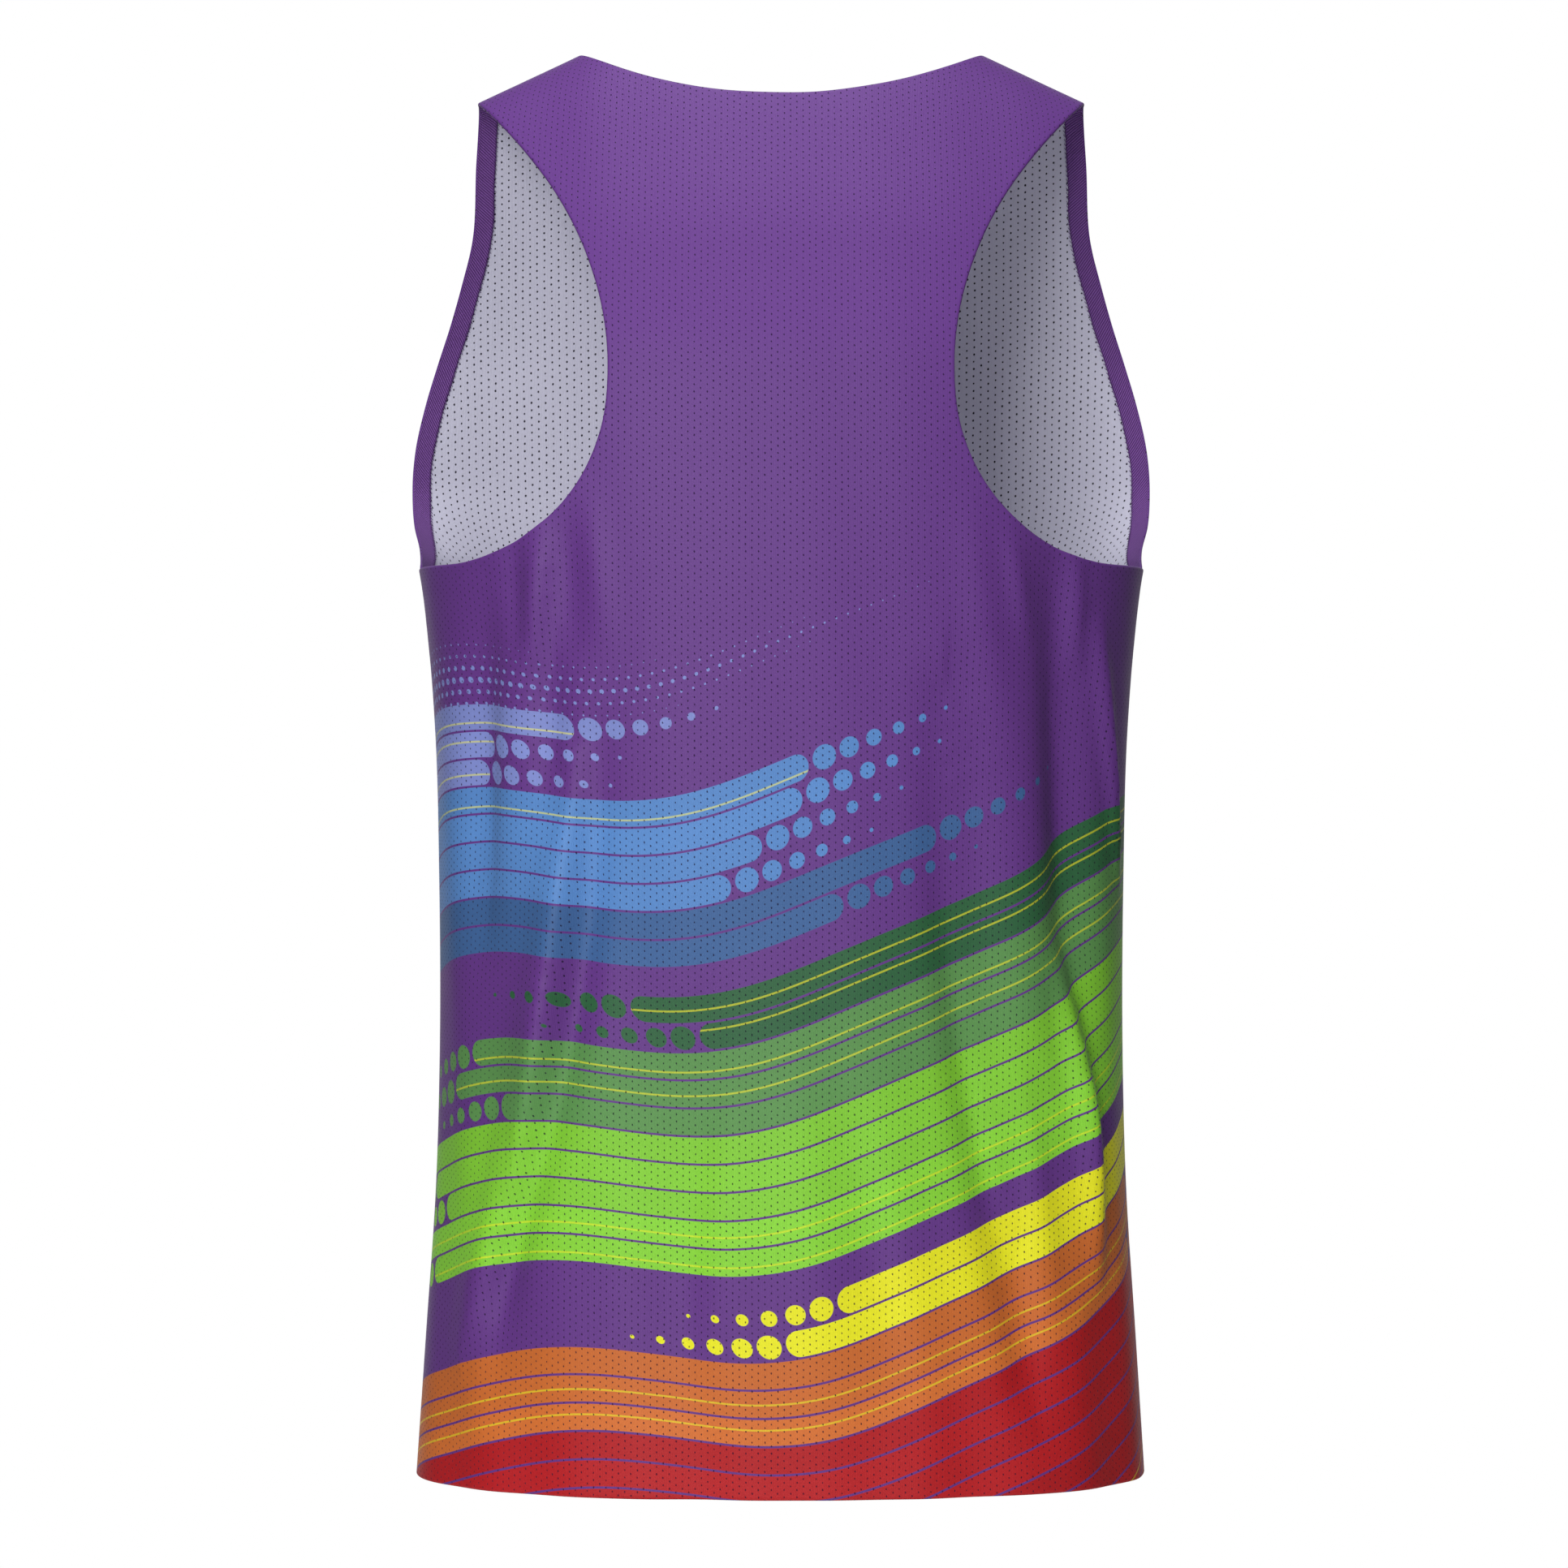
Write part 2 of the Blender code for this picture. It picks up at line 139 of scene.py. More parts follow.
# %% [markdown]
# ## What differs between back and front
#
# Each panel has its own neckline and armhole, and its own creases. The creases come from how the
# cloth hangs from the shoulders and catches under the arms: long soft ridges and troughs, uneven
# in length, depth and spacing. A simulation would find some, but not those of the photograph, so
# they are listed in a table. Each runs from a top point to a low point, bows sideways, and
# has a height and a width to either side. A trough has a negative height.

# %% The tables of the two panels
Edge = namedtuple("Edge", "x z")
Crease = namedtuple("Crease", "x_top z_top x_low z_low bow height left right")

BACK_ARMHOLE = (
    Edge(0.1500, -0.2494),
    Edge(0.1193, -0.2366),
    Edge(0.0982, -0.2165),
    Edge(0.0851, -0.1894),
    Edge(0.0815, -0.1585),
    Edge(0.0838, -0.1340),
    Edge(0.0919, -0.1054),
    Edge(0.1062, -0.0759),
    Edge(0.1223, -0.0529),
    Edge(0.1384, -0.0339),
)
FRONT_ARMHOLE = (
    Edge(0.1772, -0.2465),
    Edge(0.1790, -0.2395),
    Edge(0.1833, -0.2270),
    Edge(0.1856, -0.2080),
    Edge(0.1846, -0.1910),
    Edge(0.1791, -0.1649),
    Edge(0.1729, -0.1446),
    Edge(0.1660, -0.1247),
    Edge(0.1598, -0.1052),
    Edge(0.1543, -0.0859),
    Edge(0.1508, -0.0482),
)
BACK_CREASES = (
    Crease(-0.131, -0.240, -0.141, -0.480, -0.002, -0.0104, 0.015, 0.019),
    Crease(-0.152, -0.280, -0.162, -0.400, 0.000, 0.0052, 0.004, 0.006),
    Crease(-0.134, -0.440, -0.151, -0.590, -0.002, 0.0100, 0.008, 0.008),
    Crease(-0.120, -0.480, -0.138, -0.610, -0.002, -0.0022, 0.008, 0.008),
    Crease(-0.078, -0.315, -0.120, -0.640, 0.008, -0.0115, 0.014, 0.021),
    Crease(-0.078, -0.330, -0.122, -0.600, 0.009, 0.0032, 0.008, 0.012),
    Crease(-0.112, -0.520, -0.120, -0.655, 0.000, -0.0030, 0.012, 0.008),
    Crease(-0.090, -0.225, -0.104, -0.330, 0.002, 0.0018, 0.010, 0.010),
    Crease(-0.108, -0.236, -0.116, -0.285, 0.000, 0.0018, 0.006, 0.006),
    Crease(-0.141, -0.245, -0.143, -0.300, 0.000, 0.0030, 0.006, 0.005),
    Crease(-0.030, -0.500, -0.062, -0.668, 0.000, -0.0026, 0.016, 0.010),
    Crease(0.114, -0.238, 0.117, -0.305, 0.000, 0.0050, 0.009, 0.006),
    Crease(0.126, -0.238, 0.124, -0.292, 0.000, -0.0026, 0.006, 0.006),
    Crease(0.101, -0.232, 0.099, -0.300, 0.000, -0.0026, 0.007, 0.008),
    Crease(0.090, -0.222, 0.083, -0.290, 0.000, 0.0020, 0.008, 0.008),
    Crease(0.140, -0.262, 0.142, -0.430, 0.002, -0.0066, 0.014, 0.012),
    Crease(0.112, -0.265, 0.106, -0.390, 0.000, -0.0048, 0.011, 0.010),
    Crease(0.100, -0.345, 0.150, -0.620, -0.012, 0.0100, 0.014, 0.007),
    Crease(0.086, -0.330, 0.134, -0.600, -0.012, -0.0048, 0.009, 0.009),
    Crease(0.120, -0.480, 0.138, -0.645, 0.000, -0.0036, 0.008, 0.011),
    Crease(0.030, -0.430, 0.050, -0.640, 0.000, -0.0034, 0.018, 0.012),
    Crease(-0.010, -0.470, -0.018, -0.660, 0.000, 0.0022, 0.018, 0.024),
)
FRONT_CREASES = (
    Crease(0.126, -0.250, 0.132, -0.450, 0.004, -0.0085, 0.012, 0.008),
    Crease(-0.130, -0.245, -0.142, -0.400, -0.002, -0.0080, 0.011, 0.008),
    Crease(-0.090, -0.310, -0.128, -0.610, 0.008, 0.0075, 0.014, 0.007),
    Crease(0.070, -0.330, 0.108, -0.600, -0.008, -0.0065, 0.014, 0.008),
    Crease(0.150, -0.330, 0.154, -0.560, 0.000, 0.0058, 0.010, 0.006),
    Crease(-0.150, -0.420, -0.155, -0.600, 0.000, -0.0040, 0.008, 0.010),
    Crease(0.115, -0.236, 0.112, -0.300, 0.000, 0.0034, 0.007, 0.006),
    Crease(-0.112, -0.240, -0.118, -0.305, 0.000, 0.0036, 0.006, 0.007),
    Crease(0.088, -0.300, 0.122, -0.560, -0.009, 0.0034, 0.009, 0.010),
    Crease(-0.072, -0.420, -0.100, -0.640, 0.004, -0.0042, 0.012, 0.009),
    Crease(0.030, -0.300, 0.040, -0.420, 0.002, 0.0022, 0.016, 0.012),
    Crease(-0.020, -0.420, -0.045, -0.640, 0.000, -0.0036, 0.018, 0.012),
)


# %% The two sides
Side = namedtuple("Side", "facing depth neck_drop neck_power strap_rows armhole creases")
BACK = Side(1, "back_depth", 0.0243, 2.25, 5, BACK_ARMHOLE, BACK_CREASES)
FRONT = Side(-1, "front_depth", 0.0950, 2.10, 9, FRONT_ARMHOLE, FRONT_CREASES)
print("creases laid:", len(BACK_CREASES) + len(FRONT_CREASES))

# %% [markdown]
# ## Points on the form
#
# Cloth is drawn here by putting points near the form and then moving them onto it. The form is
# written as a function that is zero on it. A step along the slope of that function, repeated a
# few times, lands on the surface. It is more work than a formula for each point, but it lets the
# points be spaced freely, and it gives the direction outwards for the thickness and the creases.


# %% The form as a function
def outside(points, side):
    x, y, z = points.T
    wide = np.abs(x / half_width(z, side)) ** ROUNDNESS
    deep = np.abs(y / girth(z, side.depth)) ** ROUNDNESS
    return deep - fullness(x, z) * (1 - wide)


def slope_of(points, side, step=1e-5):
    moves = step * np.eye(3)
    slope = np.stack(
        [(outside(points + m, side) - outside(points - m, side)) / (2 * step) for m in moves],
        axis=1,
    )
    # On a seam the slope stays in the plane of the seam.
    slope[np.abs(points[:, 1]) < 1e-6, 1] = 0
    return slope


def outward(points, side):
    slope = slope_of(points, side)
    return slope / np.linalg.norm(slope, axis=1, keepdims=True)


# %% Moving points onto it
def settle(points, side, rounds=6):
    for _ in range(rounds):
        slope = slope_of(points, side)
        size = (slope * slope).sum(axis=1)
        points = points - slope * (outside(points, side) / size)[:, None]
    return points


def from_above(x, z, side):
    inside = 1 - np.minimum(np.abs(x) / half_width(z, side), 1) ** ROUNDNESS
    y = girth(z, side.depth) * (fullness(x, z) * inside) ** (1 / ROUNDNESS)
    return np.stack([x, side.facing * y, z], axis=-1)


def angle_at(x, z, side):
    inside = 1 - np.minimum(np.abs(x) / half_width(z, side), 1) ** ROUNDNESS
    return np.arctan2(x, girth(z, side.depth) * inside ** (1 / ROUNDNESS))


def from_angle(angle, z, side):
    width, depth = half_width(z, side), girth(z, side.depth)
    sideways = np.abs(np.sin(angle) / width) ** ROUNDNESS
    along = np.abs(np.cos(angle) / depth) ** ROUNDNESS
    return from_above(np.sin(angle) * (sideways + along) ** (-1 / ROUNDNESS), z, side)


# %% [markdown]
# ## Cut edges and the strips beside them
#
# The armholes and the neck are drawn first, as fine lines on the form, because a wobble in a cut
# edge shows at once. Beside each edge lie lines at set distances inwards. They are crowded at the
# edge, where the real cloth is folded in, and the last one is where the bias strip ends.

# %% How finely the cloth is drawn
HALF_COLUMNS = 17
BODY_ROWS = 15
ARMHOLE_ROWS = 26
NECK_COLUMNS = 9
FINER = 5
COARSE_ROUNDS, FINE_ROUNDS = 400, 12
# The higher the power, the later the rows take on the spacing and the rise of the top line.
SPACING_POWER, RISE_POWER = 6.6, 2.2
HEM_WIDTH = 0.020
STRIP_WIDTH = 0.010
FROM_EDGE = np.array([0, 0.0002, 0.0005, 0.0010, 0.0018, 0.0035, 0.0060, 0.0080, STRIP_WIDTH])
FROM_HEM = np.array([0, 0.0002, 0.0005, 0.0010, 0.0018, 0.0040, 0.0080, 0.0120, 0.0160, HEM_WIDTH])


# %% The armhole and the neck
def evenly(points, count):
    steps = np.linalg.norm(np.diff(points, axis=0), axis=1)
    along = np.concatenate([[0], np.cumsum(steps)])
    at = np.linspace(0, along[-1], count)
    return np.stack([np.interp(at, along, points[:, k]) for k in range(3)], axis=1)


def armhole_edge(side):
    underarm = Edge(float(girth(UNDERARM_Z, "half_width")), UNDERARM_Z)
    tip = Edge(SHOULDER_HALF, float(ridge_height(SHOULDER_HALF)))
    knots = np.array([underarm, *side.armhole, tip])
    along = np.concatenate([[0], np.cumsum(np.linalg.norm(np.diff(knots, axis=0), axis=1))])
    at = along[-1] * (1 - np.cos(np.linspace(0, np.pi, 4000))) / 2
    line = from_above(through(along, knots[:, 0], at), through(along, knots[:, 1], at), side)
    line[[0, -1], 1] = 0
    return settle(evenly(line, ARMHOLE_ROWS * FINER + 1), side)


def neck_edge(side):
    x = NECK_HALF * np.sin(np.linspace(-np.pi / 2, np.pi / 2, 4001))
    z = -side.neck_drop * (1 - np.abs(x / NECK_HALF) ** side.neck_power)
    line = from_above(x, z, side)
    line[[0, -1], 1] = 0
    return settle(evenly(line, 2 * (NECK_COLUMNS + side.strap_rows) * FINER + 1), side)


# %% Lines beside an edge
def beside(edge, side, distances):
    along = np.gradient(edge, axis=0)
    along[[0, -1]] = [0, 1, 0]
    along[0] *= np.sign(edge[1, 1])
    along[-1] *= -np.sign(edge[-2, 1])
    inwards = np.cross(outward(edge, side), along)
    inwards /= np.linalg.norm(inwards, axis=1, keepdims=True)
    half_way = len(edge) // 2
    if inwards[half_way] @ (BODY_CENTRE - edge[half_way]) < 0:
        inwards = -inwards
    return np.array([settle(edge + inwards * np.reshape(d, (-1, 1)), side) for d in distances])


def mirrored(line):
    return line * [-1, 1, 1]


armholes = {side: beside(armhole_edge(side), side, FROM_EDGE) for side in (BACK, FRONT)}
necks = {side: beside(neck_edge(side), side, FROM_EDGE) for side in (BACK, FRONT)}
for side, label in ((BACK, "back"), (FRONT, "front")):
    for opening, lines in (("armhole", armholes), ("neck", necks)):
        length = np.linalg.norm(np.diff(lines[side][0], axis=0), axis=1).sum()
        print(label, opening, "edge, mm:", round(1000 * length))

# %% [markdown]
# ## The net of a panel
#
# Between the strips the panel is one net of rows and columns, and each strap goes on from it with
# rows of its own. A plain grid would crowd and fold under the arms. So a coarse net is evened out
# first, as a spring mesh would be, with a weight that keeps lines from crossing. Then it gets more
# lines, and its border takes the fine points of the strips, so that everything can be sewn up.


# %% Evening out a net
def evened(net, side, rounds):
    for _ in range(rounds):
        up, down = net[2:, 1:-1], net[:-2, 1:-1]
        right, left = net[1:-1, 2:], net[1:-1, :-2]
        high, wide = (up - down) / 2, (right - left) / 2
        tall = (high * high).sum(axis=2, keepdims=True)
        broad = (wide * wide).sum(axis=2, keepdims=True)
        skew = (high * wide).sum(axis=2, keepdims=True)
        corners = net[2:, 2:] - net[2:, :-2] - net[:-2, 2:] + net[:-2, :-2]
        middle = tall * (right + left) + broad * (up + down) - skew * corners / 2
        middle /= 2 * (tall + broad)
        inner = settle(middle.reshape(-1, 3), side, rounds=1)
        net[1:-1, 1:-1] = inner.reshape(middle.shape)
    return net


def across(start, end, count, side):
    row = start + (end - start) * np.linspace(0, 1, count)[:, None]
    if start[1] != 0:
        row[1:-1] = settle(row[1:-1], side)
    return row


# %% The coarse net
def coarse_net(inner, top, side):
    seam_z = np.linspace(HEM_WIDTH - BODY_LENGTH, inner[0, 2], BODY_ROWS)[:-1]
    side_z = np.concatenate([seam_z, inner[:, 2]])
    turn = np.concatenate([np.full(BODY_ROWS, np.pi / 2), angle_at(*inner[1:, ::2].T, side)])
    top_share = angle_at(top[:, 0], top[:, 2], side)
    top_share /= top_share[-1]
    share = np.linspace(-1, 1, 2 * HALF_COLUMNS + 1)
    rise = top[:, 2] - top[-1, 2]
    climb = (side_z - side_z[0]) / (side_z[-1] - side_z[0])
    rows = []
    for z, angle, up in zip(side_z, turn, climb):
        spacing = share + up**SPACING_POWER * (top_share - share)
        rows.append(from_angle(angle * spacing, z + up**RISE_POWER * rise, side))
    net = np.array(rows)
    net[:BODY_ROWS, [0, -1], 1] = 0
    net[BODY_ROWS - 1 :, -1] = inner
    net[BODY_ROWS - 1 :, 0] = mirrored(inner)
    net[-1] = top
    return evened(net, side, COARSE_ROUNDS)


# %% More lines both ways
def with_more_lines(net):
    for axis in (0, 1):
        net = np.swapaxes(net, 0, axis)
        at = np.arange((len(net) - 1) * FINER + 1) / FINER
        low = np.minimum(at.astype(int), len(net) - 2)
        part = (at - low)[:, None, None]
        net = np.swapaxes(net[low] * (1 - part) + net[low + 1] * part, 0, axis)
    return net


# %% The whole net
def panel_nets(side):
    inner, neck = armholes[side][-1], necks[side][-1]
    strap = side.strap_rows * FINER
    strap_columns = (HALF_COLUMNS - NECK_COLUMNS) * FINER + 1
    straps = np.array(
        [across(a, b, strap_columns, side) for a, b in zip(neck[-strap - 1 :], inner[-strap - 1 :])]
    )
    foot = straps[0]
    top = np.concatenate([mirrored(foot)[::-1], neck[strap + 1 : -strap - 1], foot])
    side_line = inner[: len(inner) - strap]
    net = with_more_lines(coarse_net(side_line[::FINER], top[::FINER], side))
    underarm = (BODY_ROWS - 1) * FINER
    net = settle(net.reshape(-1, 3), side).reshape(net.shape)
    # The border: the side seams, the fine lines of the strips, and the top.
    seam_z = net[: underarm + 1, -1, 2]
    seam = np.stack([girth(seam_z, "half_width"), 0 * seam_z, seam_z], axis=1)
    edge = np.concatenate([seam[:-1], side_line])
    net[:, -1] = edge
    net[:, 0] = mirrored(edge)
    net[-1] = top
    turn = np.arctan2(net[0, :, 0], np.abs(net[0, :, 1]))
    hem = [from_angle(turn, np.full(len(turn), d - BODY_LENGTH), side) for d in FROM_HEM]
    for row in hem:
        row[[0, -1], 1] = 0
    net[0] = hem[-1]
    net = evened(net, side, FINE_ROUNDS)
    return np.concatenate([hem[:-1], net]), straps


nets = {side: panel_nets(side) for side in (BACK, FRONT)}
print("rows and columns of the back:", nets[BACK][0].shape[:2])

# %% [markdown]
# ## The flat cloth
#
# Knit and print were made flat, so they have to follow the cloth and not the view. Every point
# therefore gets its place on the flat cut: how far it is from the centre line, measured round the
# body, and how far above the hem, measured up the cloth. Unwrapping would do, but measuring on
# the form gives true metres, so an eyelet three millimetres from the next stays so everywhere.


# %% Measuring along the form
# Nearer to the side seams than this, the length up the cloth is taken from one line.
LAST_MERIDIAN = 0.12


def lengths(x, z, side):
    steps = np.diff(from_above(x, z, side), axis=-2)
    return np.linalg.norm(steps, axis=-1).sum(axis=-1)


def flat_place(points, side):
    x, z = points[:, :1], points[:, 2:]
    part = np.linspace(0, 1, 49)[None]
    round_body = lengths(x * np.sin(part * np.pi / 2), z + 0 * part, side)
    meridian = np.clip(x, -LAST_MERIDIAN, LAST_MERIDIAN) + 0 * part
    up_body = lengths(meridian, -BODY_LENGTH + (z + BODY_LENGTH) * part, side)
    # To the right as the panel is looked at from outside.
    return np.stack([-side.facing * np.sign(points[:, 0]) * round_body, up_body], axis=1)


print("half of the hem laid flat, mm:", np.round(1000 * flat_place(nets[BACK][0][0, :1], BACK)[0]))

# %% [markdown]
# ## Creases, drape and rolled edges
#
# The cloth is moved in and out along its own direction outwards. Creases come from the tables,
# with a steeper side and a gentler side. Between them cloth is never quite flat, so a few long
# slow waves are added, which grow towards the free hem. At the seams it is pulled in a little,
# and at a cut edge it rolls inwards, where the strip was turned under.

# %% Sizes of the small shapes
KNIT = 0.0007
ROLL = 0.0011
SEAM_DIP, SEAM_DIP_WIDTH = 0.0005, 0.0015
# The panels meet edge to edge and are parted by a hair, so that they never share a face.
SEAM_PARTING = 0.00001
# Creases and waves die out this near to the plane of the seams.
CREASE_HELD, WAVE_HELD = 0.03, 0.04
WAVES_GROW_BELOW = 0.45
# A crease has a quarter of its height left at either end of its path.
CREASE_END = 0.08

Wave = namedtuple("Wave", "height across up phase")
WAVES = (
    Wave(0.0009, 0.118, 0.90, 0.4),
    Wave(0.0007, 0.071, 0.55, 2.1),
    Wave(0.0004, 0.043, 0.38, 4.0),
)


# %% The height of the creases
def crease_height(points, flat, side):
    total = np.zeros(len(points))
    t = np.linspace(0, 1, 41)
    for c in side.creases:
        x = c.x_top + (c.x_low - c.x_top) * t + c.bow * 4 * t * (1 - t)
        z = c.z_top + (c.z_low - c.z_top) * t
        path = flat_place(from_above(x, z, side), side)
        away = flat[:, None] - path[None]
        nearest = (away * away).sum(axis=2).argmin(axis=1)
        gap = away[np.arange(len(flat)), nearest]
        wide = np.where(gap[:, 0] < 0, c.left, c.right)
        strength = np.sin(np.pi * (CREASE_END + (1 - 2 * CREASE_END) * t[nearest]))
        total += c.height * strength * np.exp(-(gap * gap).sum(axis=1) / wide**2)
    return total * np.clip(np.abs(points[:, 1]) / CREASE_HELD, 0, 1) ** 1.5


# %% The slow waves
def drape_height(points, flat):
    total = np.zeros(len(points))
    free = np.clip((WAVES_GROW_BELOW - flat[:, 1]) / WAVES_GROW_BELOW, 0, 1)
    for wave in WAVES:
        turn = 2 * np.pi * (flat[:, 0] / wave.across + flat[:, 1] / wave.up) + wave.phase
        total += wave.height * np.sin(turn)
    return total * (0.25 + free) * np.clip(np.abs(points[:, 1]) / WAVE_HELD, 0, 1)


# %% Where the cloth ends up
def worn(points, side, inset=0.0, from_edge=None):
    flat = flat_place(points, side)
    height = crease_height(points, flat, side) + drape_height(points, flat) - inset
    height -= SEAM_DIP * np.exp(-((points[:, 1] / SEAM_DIP_WIDTH) ** 2))
    if from_edge is not None:
        over = np.clip(1 - from_edge / ROLL, 0, 1)
        height -= ROLL * (1 - np.sqrt(1 - over * over))
    moved = points + outward(points, side) * height[:, None]
    moved[:, 1] += side.facing * SEAM_PARTING
    return moved, flat


# %% [markdown]
# ## From nets to cloth
#
# A net becomes quads, and nets that share points are welded into one panel. The thickness comes
# from a Solidify modifier, which also gives the inside its own material: the knit is printed on
# one side only. The fold at the edges keeps the print, as it is the same cloth turned in.


# %% Sewing nets into a piece
def piece(name, parts, materials, thick):
    verts, faces, flats, start = [], [], [], 0
    for points, flat, rows, columns, side in parts:
        corner = np.arange(rows * columns).reshape(rows, columns)
        quads = np.stack(
            [corner[:-1, :-1], corner[:-1, 1:], corner[1:, 1:], corner[1:, :-1]], axis=-1
        ).reshape(-1, 4)
        middle = quads[len(quads) // 2]
        a, b, c = points[middle[:3]]
        if np.cross(b - a, c - a) @ outward(points[middle[:1]], side)[0] < 0:
            quads = quads[:, ::-1]
        faces.append(quads + start)
        verts.append(points)
        flats.append(flat)
        start += len(points)
    faces, flats = np.concatenate(faces), np.concatenate(flats)
    mesh = bpy.data.meshes.new(name)
    mesh.from_pydata(np.concatenate(verts), [], faces)
    layer = mesh.uv_layers.new(name="flat")
    layer.uv.foreach_set("vector", flats[faces.ravel()].ravel())
    made = bpy.data.objects.new(name, mesh)
    bpy.context.scene.collection.objects.link(made)
    weld(mesh)
    mesh.shade_smooth()
    for material in materials:
        mesh.materials.append(material)
    wall = made.modifiers.new("wall", "SOLIDIFY")
    wall.thickness = thick
    wall.offset = -1
    wall.material_offset = len(materials) - 1
    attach(made, "root")
    return made


def weld(mesh):
    work = bmesh.new()
    work.from_mesh(mesh)
    bmesh.ops.remove_doubles(work, verts=work.verts, dist=2e-5)
    work.to_mesh(mesh)
    work.free()


# %% One net, worn
def laid(net, side, inset=0.0, from_edge=None):
    rows, columns = net.shape[:2]
    if from_edge is not None:
        from_edge = np.broadcast_to(np.reshape(from_edge, (rows, -1)), (rows, columns)).ravel()
    points, flat = worn(net.reshape(-1, 3), side, inset, from_edge)
    return points, flat, rows, columns, side


# %% [markdown]
# ## Writing shader maths as sums
#
# A pattern in a material is arithmetic on the flat place of a point. Written node by node it is
# hard to read, so one small class wraps a socket, and an expression on it adds its Math nodes.
# Colours are mixed in a node of their own, as a Math node would turn them grey.


# %% The class for sockets
class Wire:
    def __init__(self, desk, socket):
        self.desk = desk
        self.socket = socket

    def maths(self, operation, *others):
        return self.desk.node("ShaderNodeMath", {"operation": operation}, [self, *others])

    def __add__(self, other):
        return self.maths("ADD", other)

    __radd__ = __add__

    def __sub__(self, other):
        return self.maths("SUBTRACT", other)

    def __rsub__(self, other):
        return self.desk.node("ShaderNodeMath", {"operation": "SUBTRACT"}, [other, self])

    def __mul__(self, other):
        return self.maths("MULTIPLY", other)

    def __truediv__(self, other):
        return self.maths("DIVIDE", other)

    def __gt__(self, other):
        return self.maths("GREATER_THAN", other)

    def __abs__(self):
        return self.maths("ABSOLUTE")

    def floor(self):
        return self.maths("FLOOR")

    def fract(self):
        return self.maths("FRACT")

    def sin(self):
        return self.maths("SINE")

    def sqrt(self):
        return self.maths("SQRT")

    def least(self, other):
        return self.maths("MINIMUM", other)

    def most(self, other):
        return self.maths("MAXIMUM", other)


# %% The desk that adds nodes
class Desk:
    def __init__(self, name):
        self.material = bpy.data.materials.new(name)
        self.material.use_nodes = True
        self.tree = self.material.node_tree
        self.shader = self.tree.nodes["Principled BSDF"]

    def node(self, kind, settings=(), values=(), output=0):
        made = self.tree.nodes.new(kind)
        for key, value in dict(settings).items():
            setattr(made, key, value)
        named = values.items() if isinstance(values, dict) else enumerate(values)
        for key, value in named:
            self.give(made.inputs[key], value)
        return Wire(self, made.outputs[output])

    def give(self, socket, value):
        if isinstance(value, Wire):
            self.tree.links.new(value.socket, socket)
        else:
            socket.default_value = value

    def flat(self):
        place = self.node("ShaderNodeUVMap", {"uv_map": "flat"})
        parts = self.tree.nodes.new("ShaderNodeSeparateXYZ")
        self.tree.links.new(place.socket, parts.inputs[0])
        return Wire(self, parts.outputs[0]), Wire(self, parts.outputs[1])

    def chance(self, *numbers):
        """A number from 0 to 1 that stays the same for the same numbers."""
        seeds = self.node("ShaderNodeCombineXYZ", values=[n + 0.5 for n in numbers])
        return self.node("ShaderNodeTexWhiteNoise", {"noise_dimensions": "3D"}, [seeds])

    def soft(self, value, low, high):
        """0 below the low value and 1 above the high one."""
        settings = {"interpolation_type": "SMOOTHSTEP"}
        return self.node("ShaderNodeMapRange", settings, {0: value, 1: low, 2: high})

    def mix(self, factor, first, second, blend="MIX"):
        settings = {"data_type": "RGBA", "blend_type": blend}
        return self.node("ShaderNodeMix", settings, {0: factor, 6: first, 7: second}, output=2)

    def times(self, colour, number):
        grey = self.node("ShaderNodeCombineColor", values=[number] * 3)
        return self.mix(1.0, colour, grey, "MULTIPLY")

    def bands(self, value, stops):
        """The colour of the band that the value lies in."""
        made = self.tree.nodes.new("ShaderNodeValToRGB")
        made.color_ramp.interpolation = "CONSTANT"
        stop = made.color_ramp.elements
        while len(stop) < len(stops):
            stop.new(1)
        for element, (position, colour) in zip(stop, stops):
            element.position = position
            element.color = colour
        self.give(made.inputs[0], value)
        return Wire(self, made.outputs[0])

    def finish(self, colour, roughness, height, depth=0.0003, strength=0.6, sheen=0.0):
        bump = self.node(
            "ShaderNodeBump", values={"Height": height, "Distance": depth, "Strength": strength}
        )
        self.give(self.shader.inputs["Base Color"], colour)
        self.give(self.shader.inputs["Roughness"], roughness)
        self.give(self.shader.inputs["Normal"], bump)
        self.shader.inputs["Specular IOR Level"].default_value = 0.24
        self.shader.inputs["Sheen Weight"].default_value = sheen
        self.shader.inputs["Sheen Roughness"].default_value = 0.4
        return self.material


# %% Colours as seen on screen, made linear
def paint(red, green, blue):
    values = np.array([red, green, blue]) / 255
    linear = np.where(values <= 0.04045, values / 12.92, ((values + 0.055) / 1.055) ** 2.4)
    return (*linear.tolist(), 1.0)


PURPLE = paint(110, 68, 145)
GROUND_LOW = paint(102, 57, 137)
GROUND_HIGH = paint(99, 54, 134)
LAVENDER = paint(128, 140, 205)
BLUE = paint(92, 142, 208)
DEEP_BLUE = paint(66, 104, 158)
GREEN = paint(92, 146, 80)
DARK_GREEN = paint(50, 104, 66)
LIME = paint(136, 212, 58)
YELLOW = paint(240, 238, 36)
ORANGE = paint(210, 112, 50)
RED = paint(184, 30, 36)
